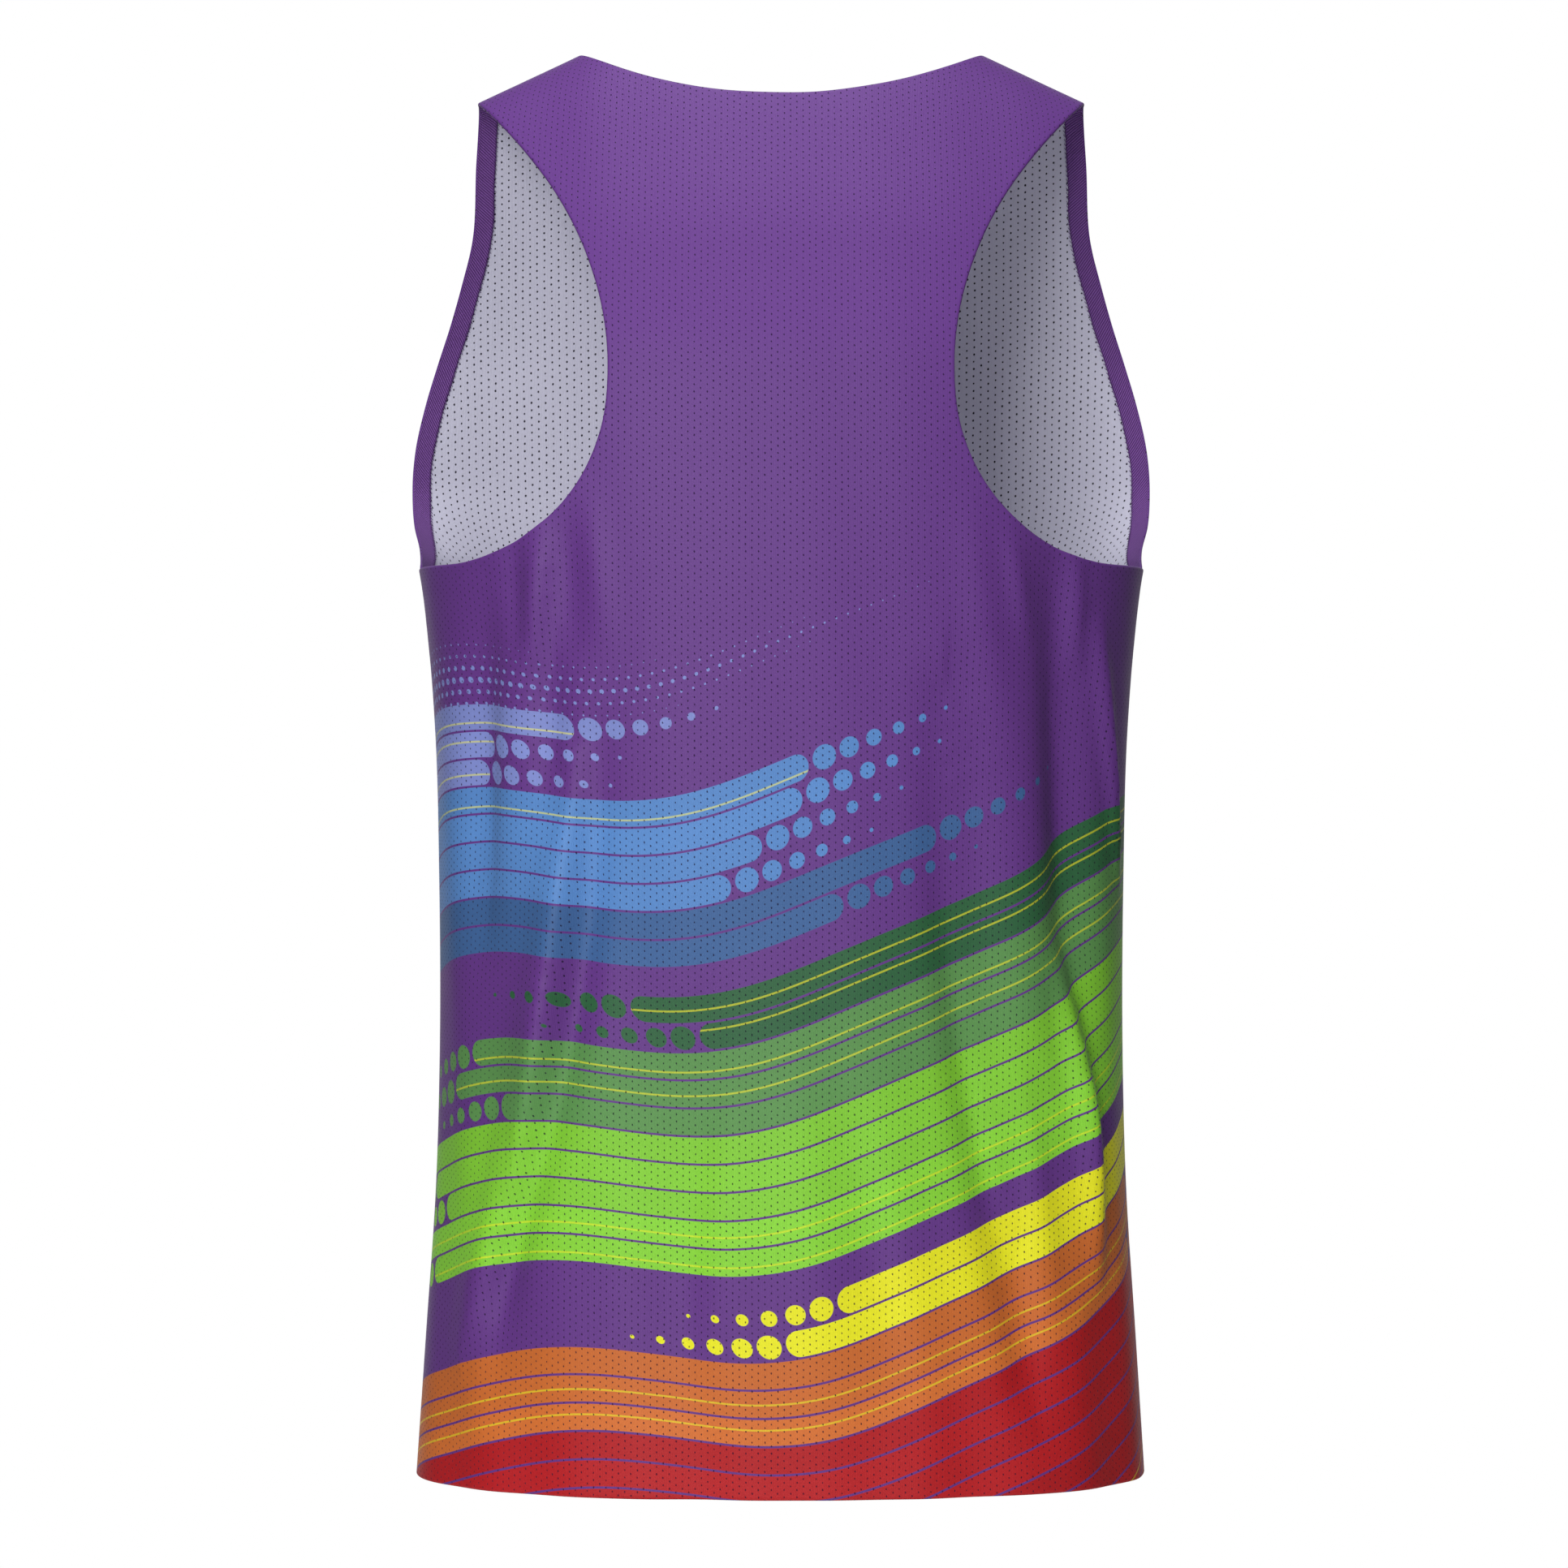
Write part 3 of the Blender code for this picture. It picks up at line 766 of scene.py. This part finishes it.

# %% [markdown]
# ## The eyelet knit
#
# The knit has small eyelets in upright columns, each column half a step off the next. On the
# print side they are dark dots in shallow pits, the dark being painted shade seen through the
# holes. Cutting tens of thousands of holes would swamp the mesh, so they are drawn and sunk by the
# material, along with the fine ribs of the stitches, which also get a little painted light and
# shade.


# %% Eyelets and stitches
Knit = namedtuple("Knit", "across up")
BACK_KNIT = Knit(0.0030, 0.0034)
FRONT_KNIT = Knit(0.0037, 0.0038)
WANDER = 0.08
LEAN = 0.35
SMALLEST, SPREAD = 0.86, 0.28
STITCH_ACROSS, STITCH_UP = 0.00060, 0.00052


def eyelets(desk, u, v, knit, half_across, half_up):
    """1 in an eyelet and 0 between them, with the half sizes in millimetres."""
    column = (u / knit.across).floor()
    across_cell = (u / knit.across).fract() - 0.5
    odd = (column / 2).fract() > 0.25
    up = v / knit.up + odd * 0.5
    row = up.floor()
    up_cell = up.fract() - 0.5
    shift = desk.chance(column, row, 3.0) - 0.5
    x = (across_cell + shift * WANDER) * (knit.across * 1000) + up_cell * LEAN
    y = up_cell * (knit.up * 1000)
    size = SMALLEST + desk.chance(row, column, 4.0) * SPREAD
    reach = (x * x / half_across**2 + y * y / half_up**2).sqrt() / size
    return 1 - desk.soft(reach, 0.78, 1.10)


def stitches(u, v):
    across_rib = (u * (2 * np.pi / STITCH_ACROSS)).sin()
    up_rib = (v * (2 * np.pi / STITCH_UP) + across_rib * 0.8).sin()
    return across_rib * 0.6 + up_rib * 0.4


# Lightens the colour on the stitch ribs and darkens it between them: painted light and shade of the
# knit.
def stitch_shaded(desk, colour, grain):
    return desk.times(colour, 1 + grain * 0.06)


# %% [markdown]
# ## The print
#
# A sports print is sublimed into the cloth, so it has no thickness and lies under the eyelets.
# This one is a plain running-wear design of its own: gentle waves of ribbon that come in from both
# sides, and whose round ends break up into rows of shrinking dots. The flat cloth is turned by an
# angle, bent by two slow waves and cut into lanes. Each lane draws its ribbon's end by chance.

# %% Sizes of the print
SLANT = np.radians(13)
ALONG_START = 0.06
LONG_WAVE, LONG_RISE = 0.41, 0.017
SHORT_WAVE, SHORT_RISE = 0.17, 0.003
LANE = 0.0135
BAND_LOW, BAND_HIGH = -0.10, 0.50
LONGEST = 0.26
UNEVEN_ENDS = 0.085
FIRST_DOT_GAP = 0.0012
# Of all lanes, this share has no thin line along it.
PLAIN_SHARE = 0.62

# The reach is how far a ribbon comes in from its side, 1 being right across.
Band = namedtuple("Band", "start colour reach from_left")
BANDS = (
    Band(-0.100, RED, 1.10, 1),
    Band(0.040, ORANGE, 0.86, 1),
    Band(0.081, YELLOW, 0.50, 0),
    Band(0.108, PURPLE, 0.00, 0),
    Band(0.121, LIME, 0.97, 0),
    Band(0.189, GREEN, 0.80, 0),
    Band(0.229, DARK_GREEN, 0.62, 0),
    Band(0.256, PURPLE, 0.00, 0),
    Band(0.270, DEEP_BLUE, 0.62, 1),
    Band(0.297, BLUE, 0.50, 1),
    Band(0.351, LAVENDER, 0.32, 1),
    Band(0.392, PURPLE, 0.00, 1),
)


def band_stops(pick):
    return [((band.start - BAND_LOW) / (BAND_HIGH - BAND_LOW), pick(band)) for band in BANDS]


# %% Lanes and ribbons
def ribbons(desk, u, v, seed):
    along = u * np.cos(SLANT) + v * np.sin(SLANT) - ALONG_START
    over = v * np.cos(SLANT) - u * np.sin(SLANT)
    wave = (along * (2 * np.pi / LONG_WAVE) + seed).sin() * LONG_RISE
    over = over + wave + (along * (2 * np.pi / SHORT_WAVE) + seed * 2).sin() * SHORT_RISE
    lane = (over / LANE).floor()
    q = ((over / LANE).fract() - 0.5) * LANE
    place = ((lane + 0.5) * LANE - BAND_LOW) / (BAND_HIGH - BAND_LOW)
    colour = desk.bands(place, band_stops(lambda band: band.colour))
    # A colour holds no more than 1, so the reach goes in halved.
    reach = desk.bands(place, band_stops(lambda band: (band.reach / 2,) * 3 + (1,)))
    from_left = desk.bands(place, band_stops(lambda band: (band.from_left,) * 3 + (1,)))
    inwards = along * (from_left * 2 - 1)
    first, second = desk.chance(lane, seed, 1.0), desk.chance(lane, seed, 2.0)
    end = reach * (4 * LONGEST) - LONGEST + (first - 0.5) * UNEVEN_ENDS
    half = LANE / 2
    past = inwards - end
    beyond = (past + half).most(0)
    ribbon = 1 - desk.soft((beyond * beyond + q * q).sqrt(), half * 0.90, half * 0.94)
    step = LANE * 0.92
    dot = ((past - FIRST_DOT_GAP) / step).floor()
    dot_q = (((past - FIRST_DOT_GAP) / step).fract() - 0.5) * step
    size = half * 0.84 - dot * (half * 0.14)
    spot = (dot_q * dot_q + q * q).sqrt() - size
    dots = (1 - desk.soft(spot, -0.0002, 0.0002)) * (dot > -0.5)
    shown = ribbon.most(dots) * (reach > 0.01)
    shade = 0.90 + second * 0.18
    middle = (desk.chance(lane, seed, 6.0) - 0.5) * (LANE * 0.5)
    lined = (1 - desk.soft(abs(q - middle), 0.0003, 0.0006)) * ribbon
    lined = lined * (desk.chance(lane, seed, 7.0) > PLAIN_SHARE)
    return colour, shown, shade, lined, along, over


# %% A screen of small dots above the ribbons
SCREEN_STEP = 0.0058
SCREEN_MIDDLE, SCREEN_FADE = 0.400, 0.034
SCREEN_START, SHRINKING = 0.20, 2.6
SMALLEST_DOT = 0.0002


def screen(desk, along, over):
    row = (over / SCREEN_STEP).floor()
    place = along / SCREEN_STEP + (row / 2).fract()
    column = place.floor()
    x = (place.fract() - 0.5) * SCREEN_STEP
    y = ((over / SCREEN_STEP).fract() - 0.5) * SCREEN_STEP
    off_middle = abs((row * SCREEN_STEP - SCREEN_MIDDLE) / SCREEN_FADE)
    size = 0.9 - off_middle - (column * SCREEN_STEP + SCREEN_START) * SHRINKING
    size = size.most(0).least(0.8) * (SCREEN_STEP * 0.36)
    spot = (x * x + y * y).sqrt() - size
    return (1 - desk.soft(spot, -0.00012, 0.00012)) * (size > SMALLEST_DOT)


# %% The printed side of the knit
def print_side(name, seed, knit):
    desk = Desk(name)
    u, v = desk.flat()
    colour, shown, shade, lines, along, over = ribbons(desk, u, v, seed)
    ground = desk.mix(desk.soft(v, 0.36, 0.74), GROUND_LOW, GROUND_HIGH)
    lined = desk.mix(lines * 0.5, desk.times(colour, shade), YELLOW)
    dotted = desk.mix(screen(desk, along, over) * (1 - shown), ground, LAVENDER)
    cloth = desk.mix(shown, dotted, lined)
    holes = eyelets(desk, u, v, knit, 0.32, 0.50)
    grain = stitches(u, v)
    # The dark of the eyelets is painted shade seen through the holes, and the stitch ribs add a
    # little painted light and shade.
    cloth = stitch_shaded(desk, desk.mix(holes * 0.84, cloth, paint(30, 12, 46)), grain)
    return desk.finish(cloth, 0.50 + holes * 0.3, grain * 0.14 - holes, sheen=0.04)


# %% The reverse of the knit
def reverse_side(name, knit):
    desk = Desk(name)
    u, v = desk.flat()
    holes = eyelets(desk, u, v, knit, 0.46, 0.58)
    grain = stitches(u, v)
    # The near-black eyelets are painted shade seen through the holes, and the stitch ribs add a
    # little painted light and shade.
    cloth = desk.mix(holes * 0.97, paint(210, 209, 226), paint(22, 18, 36))
    return desk.finish(stitch_shaded(desk, cloth, grain), 0.75, grain * 0.14 - holes)


# %% [markdown]
# ## The bias strips
#
# The strips are cut at 45 degrees, so their fine ribs run slantwise along the edge. A rib is about
# a millimetre wide, so it stays in the material, measured along and across the strip. Its crests
# and hollows are painted light and painted shade, and the free edge of a strip gets a painted shade.


# %% The ribbed strip
RIB = 0.00155
# How far in from the free edge of a strip its painted shade reaches.
EDGE_SHADE_WIDTH = 0.0012


def bias_knit(name):
    desk = Desk(name)
    u, v = desk.flat()
    rib = ((u + v) * (2 * np.pi / RIB)).sin()
    cross = ((u - v) * (2 * np.pi / STITCH_ACROSS)).sin()
    # A painted shade darkens the last stretch of the strip before its free edge, where the strip
    # stands off the panel.
    edge_shade = desk.soft(v, STRIP_WIDTH - EDGE_SHADE_WIDTH, STRIP_WIDTH)
    # Painted light on the crests of the ribs and painted shade in their hollows, in two tones of one
    # purple.
    cloth = desk.mix(0.5 + rib * 0.5, paint(80, 40, 108), paint(142, 94, 174))
    cloth = desk.mix(edge_shade * 0.35, cloth, paint(60, 34, 80))
    return desk.finish(cloth, 0.6, rib * 0.7 + cross * 0.2, depth=0.00025, strength=0.8)


# %% All the materials
back_print = print_side("back_print", 1.7, BACK_KNIT)
front_print = print_side("front_print", 4.2, FRONT_KNIT)
back_reverse = reverse_side("back_reverse", BACK_KNIT)
front_reverse = reverse_side("front_reverse", FRONT_KNIT)
strip_knit = bias_knit("strip_knit")
print("materials:", len(bpy.data.materials))

# %% [markdown]
# ## The two panels
#
# Each panel is sewn up from its net, its two straps, the strips along its armholes and the strip
# along its neck. In the real shirt all of that is one piece of knit.


# %% Back and front
def panel(name, node, side, outer, inner):
    main, strap = nets[side]
    hem_distance = main[:, 0, 2] + BODY_LENGTH
    parts = [
        laid(main, side, from_edge=hem_distance),
        laid(strap, side),
        laid(mirrored(strap), side),
        laid(armholes[side], side, from_edge=FROM_EDGE),
        laid(mirrored(armholes[side]), side, from_edge=FROM_EDGE),
        laid(necks[side], side, from_edge=FROM_EDGE),
    ]
    made = piece(name, parts, [outer, inner], KNIT)
    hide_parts(node)
    faces = made.data.polygons
    area = sum(face.area for face in faces)
    width = 2 * np.abs(np.concatenate([part[1] for part in parts])[:, 0]).max()
    height = max(part[1][:, 1].max() for part in parts)
    print(name, "faces", len(faces), "area", round(area, 4), "flat", width, height)
    return made, (float(width), float(height)), area


back_cloth, back_flat, back_area = panel(
    "back_cloth", "back_panel", BACK, back_print, back_reverse
)
front_cloth, front_flat, front_area = panel(
    "front_cloth", "front_panel", FRONT, front_print, front_reverse
)

# %% [markdown]
# ## The turned-in strips
#
# A strip is sewn to the edge and turned inside, where it lies on the reverse of the panel. Its
# free edge is cut knit, a little uneven, and stands off by a hair. It is drawn from the same edge
# line as the panel, set in by the thickness of the knit.


# %% A strip round an opening
STRIP_KNIT = 0.0006
STRIP_LIES_OFF, STRIP_STANDS_OFF = 0.00012, 0.0003
ACROSS_STRIP = np.array([0.05, 0.09, 0.16, 0.30, 0.50, 0.70, 0.88, 1.0])


def facing(name, node, edges, flip=False):
    parts = []
    for side, edge in edges.items():
        along = np.concatenate([[0], np.cumsum(np.linalg.norm(np.diff(edge, axis=0), axis=1))])
        wobble = np.sin(along / 0.0011) * 0.00009 + np.sin(along / 0.0047 + 1) * 0.00016
        distances = ACROSS_STRIP[:, None] * (STRIP_WIDTH + wobble)
        net = beside(edge, side, distances)
        if flip:
            net = mirrored(net)
        lift = KNIT + STRIP_LIES_OFF + STRIP_STANDS_OFF * ACROSS_STRIP**4
        inset = np.broadcast_to(lift[:, None], distances.shape).ravel()
        flat = np.stack([np.broadcast_to(along, distances.shape), distances], axis=-1)
        points, _ = worn(net.reshape(-1, 3), side, inset, distances.ravel())
        parts.append((points, flat.reshape(-1, 2), *distances.shape, side))
    made = piece(name, parts, [strip_knit], STRIP_KNIT)
    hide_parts(node)
    return made


armhole_edges = {side: lines[0] for side, lines in armholes.items()}
neck_edges = {side: lines[0] for side, lines in necks.items()}
left_strip = facing("left_strip", "armhole_facing_left", armhole_edges)
right_strip = facing(
    "right_strip", "armhole_facing_right", armhole_edges, flip=True
)
neck_strip = facing("neck_strip", "neck_facing", neck_edges)


# %% The turned-up hem
HEM_LIES_OFF = 0.00015


def hem_turning(name, node, side, outer):
    rows = laid(nets[side][0][2 : len(FROM_HEM)], side, KNIT + HEM_LIES_OFF, FROM_HEM[2:])
    made = piece(name, [rows], [outer], STRIP_KNIT)
    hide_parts(node)
    return made


back_turning = hem_turning("back_turning", "hem_turn_back", BACK, back_print)
front_turning = hem_turning("front_turning", "hem_turn_front", FRONT, front_print)

# %% [markdown]
# ## The sewing
#
# Nothing is sewn through to the outside of this shirt. Inside, an overlock seam joins the panels at
# the sides and shoulders, and slanting stitches hold the free edges of the strips and hems. Each
# stitch is a short arch of thread. An array would not turn with the cloth, so Geometry Nodes walk
# along a line of points, stand an arch on every step and turn it inwards. The line carries its own
# direction inwards, as a curve alone does not know on which side the wearer is.

# %% The inputs of the sewing
sewing = bpy.data.node_groups.new("sewing", "GeometryNodeTree")
INPUTS = {
    "Line": "NodeSocketGeometry",
    "Pitch": "NodeSocketFloat",
    "Width": "NodeSocketFloat",
    "Height": "NodeSocketFloat",
    "Thread": "NodeSocketMaterial",
}
named = {
    label: sewing.interface.new_socket(label, in_out="INPUT", socket_type=kind).identifier
    for label, kind in INPUTS.items()
}
sewing.interface.new_socket("Stitches", in_out="OUTPUT", socket_type="NodeSocketGeometry")


# %% Adding a node to the sewing
def sew(kind, settings=(), **values):
    made = sewing.nodes.new(kind)
    for key, value in dict(settings).items():
        setattr(made, key, value)
    for key, value in values.items():
        socket = made.inputs[key.replace("_", " ")]
        if isinstance(value, bpy.types.NodeSocket):
            sewing.links.new(value, socket)
        else:
            socket.default_value = value
    return made.outputs[0]


def scaled(socket, factor):
    made = sewing.nodes.new("ShaderNodeMath")
    made.operation = "MULTIPLY"
    sewing.links.new(socket, made.inputs[0])
    made.inputs[1].default_value = factor
    return made.outputs[0]


# %% One stitch: a short arch of thread, leaning along the seam
THREAD = 0.00016
ARCH_STEPS, THREAD_SIDES = 5, 5
given = sewing.nodes.new("NodeGroupInput").outputs


def foot(turn):
    along, across = scaled(given["Pitch"], 0.42 * turn), scaled(given["Width"], 0.5 * turn)
    return sew("ShaderNodeCombineXYZ", X=along, Y=across)


arch = sew(
    "GeometryNodeCurveQuadraticBezier",
    Resolution=ARCH_STEPS,
    Start=foot(-1),
    Middle=sew("ShaderNodeCombineXYZ", Z=scaled(given["Height"], 2)),
    End=foot(1),
)
section = sew("GeometryNodeCurvePrimitiveCircle", Resolution=THREAD_SIDES, Radius=THREAD)
stitch = sew("GeometryNodeCurveToMesh", Curve=arch, Profile_Curve=section, Fill_Caps=True)

# %% A stitch on every step of the line
steps = sew(
    "GeometryNodeResampleCurve",
    {"mode": "LENGTH"},
    Curve=sew("GeometryNodeMeshToCurve", Mesh=given["Line"]),
    Length=given["Pitch"],
)
facing_in = sew("GeometryNodeInputNamedAttribute", {"data_type": "FLOAT_VECTOR"}, Name="inwards")
turned = sew(
    "FunctionNodeAxesToRotation",
    {"primary_axis": "Z", "secondary_axis": "X"},
    Primary_Axis=facing_in,
    Secondary_Axis=sew("GeometryNodeInputTangent"),
)
row = sew("GeometryNodeInstanceOnPoints", Points=steps, Instance=stitch, Rotation=turned)
joined = sew("GeometryNodeRealizeInstances", Geometry=row)
coloured = sew("GeometryNodeSetMaterial", Geometry=joined, Material=given["Thread"])
sewing.links.new(coloured, sewing.nodes.new("NodeGroupOutput").inputs[0])
print("nodes in the sewing:", len(sewing.nodes))


# %% The thread
def thread_material():
    desk = Desk("thread")
    desk.shader.inputs["Base Color"].default_value = paint(96, 58, 124)
    desk.shader.inputs["Roughness"].default_value = 0.6
    return desk.material


thread = thread_material()


# %% Sewing along some lines
def sewn(name, lines, pitch, width, height):
    points = np.concatenate([line for line, _ in lines])
    inwards = np.concatenate([direction for _, direction in lines])
    starts = np.cumsum([0] + [len(line) for line, _ in lines])
    edges = [(i, i + 1) for a, b in zip(starts, starts[1:]) for i in range(a, b - 1)]
    mesh = bpy.data.meshes.new(name)
    mesh.from_pydata(points, edges, [])
    mesh.attributes.new("inwards", "FLOAT_VECTOR", "POINT").data.foreach_set(
        "vector", inwards.astype(np.float32).ravel()
    )
    made = bpy.data.objects.new(name, mesh)
    bpy.context.scene.collection.objects.link(made)
    work = made.modifiers.new("sewing", "NODES")
    work.node_group = sewing
    given_values = {"Pitch": pitch, "Width": width, "Height": height, "Thread": thread}
    for label, value in given_values.items():
        work[named[label]] = value
    ready = made.evaluated_get(bpy.context.evaluated_depsgraph_get())
    plain = bpy.data.meshes.new_from_object(ready)
    made.modifiers.clear()
    made.data = plain
    plain.name = name
    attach(made, "root")
    print(name, "stitches:", len(plain.polygons) // (ARCH_STEPS * THREAD_SIDES + 2))
    return made


# %% The lines that are sewn
SEAM_INSET = KNIT + 0.0001
EDGE_INSET = KNIT + 0.0006


def inside_line(points, side, inset):
    placed, _ = worn(points, side, inset)
    return placed, -outward(points, side)


def seam_line(x, z):
    line = np.stack([x, 0 * x, z], axis=1)
    return [inside_line(turn, BACK, SEAM_INSET) for turn in (line, mirrored(line))]


side_z = np.linspace(0.004 - BODY_LENGTH, UNDERARM_Z - 0.002, 120)
shoulder_x = np.linspace(NECK_HALF + 0.002, SHOULDER_HALF - 0.002, 30)
side_seams = seam_line(girth(side_z, "half_width"), side_z)
shoulder_seams = seam_line(shoulder_x, ridge_height(shoulder_x) - 0.00002)
free_edge = [STRIP_WIDTH - 0.0003]
armhole_lines = []
neck_lines = []
for side in (BACK, FRONT):
    line = beside(armholes[side][0], side, free_edge)[0]
    armhole_lines += [inside_line(turn, side, EDGE_INSET) for turn in (line, mirrored(line))]
    neck_lines.append(inside_line(beside(necks[side][0], side, free_edge)[0], side, EDGE_INSET))
hem_lines = [
    inside_line(nets[side][0][len(FROM_HEM) - 1], side, EDGE_INSET) for side in (BACK, FRONT)
]
seam_sewing = sewn("seam_sewing", side_seams + shoulder_seams, 0.0028, 0.0042, 0.0008)
armhole_sewing = sewn("armhole_sewing", armhole_lines, 0.0024, 0.0022, 0.0005)
neck_sewing = sewn("neck_sewing", neck_lines, 0.0024, 0.0022, 0.0005)
hem_sewing = sewn("hem_sewing", hem_lines, 0.0030, 0.0026, 0.0005)

# %% [markdown]
# ## Floor, light and camera
#
# The shirt is seen straight from behind on plain white. Most of the light comes from the camera's
# side, a little from the left and from above, so that the cloth darkens as it turns away round the
# body. The floor is well below it, so that it throws no edge into the picture.

# %% The floor
bpy.ops.mesh.primitive_circle_add(vertices=96, radius=1.6, fill_type="NGON", location=(0, 0, -1.25))
floor = bpy.context.object
floor.name = "floor"
pale = Desk("pale_floor")
pale.shader.inputs["Base Color"].default_value = (0.86, 0.86, 0.86, 1)
pale.shader.inputs["Roughness"].default_value = 0.8
floor.data.materials.append(pale.material)


# %% The lights
def soft_light(name, place, aim, size, power):
    lamp = bpy.data.lights.new(name, "AREA")
    lamp.shape = "SQUARE"
    lamp.size = size
    lamp.energy = power
    made = bpy.data.objects.new(name, lamp)
    bpy.context.scene.collection.objects.link(made)
    made.location = place
    away = np.array(place) - np.array(aim)
    turn = np.arctan2(away[1], away[0])
    tilt = np.arccos(away[2] / np.linalg.norm(away))
    made.rotation_euler = (0, tilt, turn)
    return made


soft_light("key", (0.62, 2.4, 0.30), BODY_CENTRE, size=0.9, power=38)
soft_light("overhead", (0.05, 0.2, 1.6), (0, 0, 0), size=1.0, power=25)
front_light = soft_light("front_key", (0.6, -2.3, 0.2), BODY_CENTRE, size=1.2, power=26)
# Without this it would draw a pale rim round the back view.
front_light.visible_glossy = False


# %% The white room
world = bpy.data.worlds.new("studio")
bpy.context.scene.world = world
world.use_nodes = True
room = world.node_tree
dim = room.nodes["Background"]
dim.inputs["Color"].default_value = (1, 1, 1, 1)
# The walls before and behind the shirt are bright, and those at its sides are dark.
towards = room.nodes.new("ShaderNodeTexCoord")
split = room.nodes.new("ShaderNodeSeparateXYZ")
room.links.new(towards.outputs["Generated"], split.inputs[0])
wall_light = split.outputs["Y"]
for operation, numbers in (("ABSOLUTE", ()), ("POWER", (6,)), ("MULTIPLY_ADD", (0.97, 0.02))):
    step = room.nodes.new("ShaderNodeMath")
    step.operation = operation
    room.links.new(wall_light, step.inputs[0])
    for socket, number in zip(step.inputs[1:], numbers):
        socket.default_value = number
    wall_light = step.outputs[0]
room.links.new(wall_light, dim.inputs["Strength"])
bright = room.nodes.new("ShaderNodeBackground")
bright.inputs["Color"].default_value = (1, 1, 1, 1)
seen = room.nodes.new("ShaderNodeLightPath")
choice = room.nodes.new("ShaderNodeMixShader")
room.links.new(seen.outputs["Is Camera Ray"], choice.inputs[0])
room.links.new(dim.outputs[0], choice.inputs[1])
room.links.new(bright.outputs[0], choice.inputs[2])
room.links.new(choice.outputs[0], room.nodes["World Output"].inputs[0])
bpy.context.scene.view_settings.view_transform = "Standard"

# %% The camera
# The photograph's focal length and width, both in its own pixels.
FOCAL_LENGTH, PICTURE_WIDTH = 6692, 1932
lens = bpy.data.cameras.new("photo_camera")
lens.sensor_width = 36
lens.lens = FOCAL_LENGTH / PICTURE_WIDTH * lens.sensor_width
camera = bpy.data.objects.new("photo_camera", lens)
bpy.context.scene.collection.objects.link(camera)
camera.location = (-0.0014, 2.65, -0.355)
camera.rotation_euler = (np.pi / 2, 0, np.pi)
bpy.context.scene.camera = camera
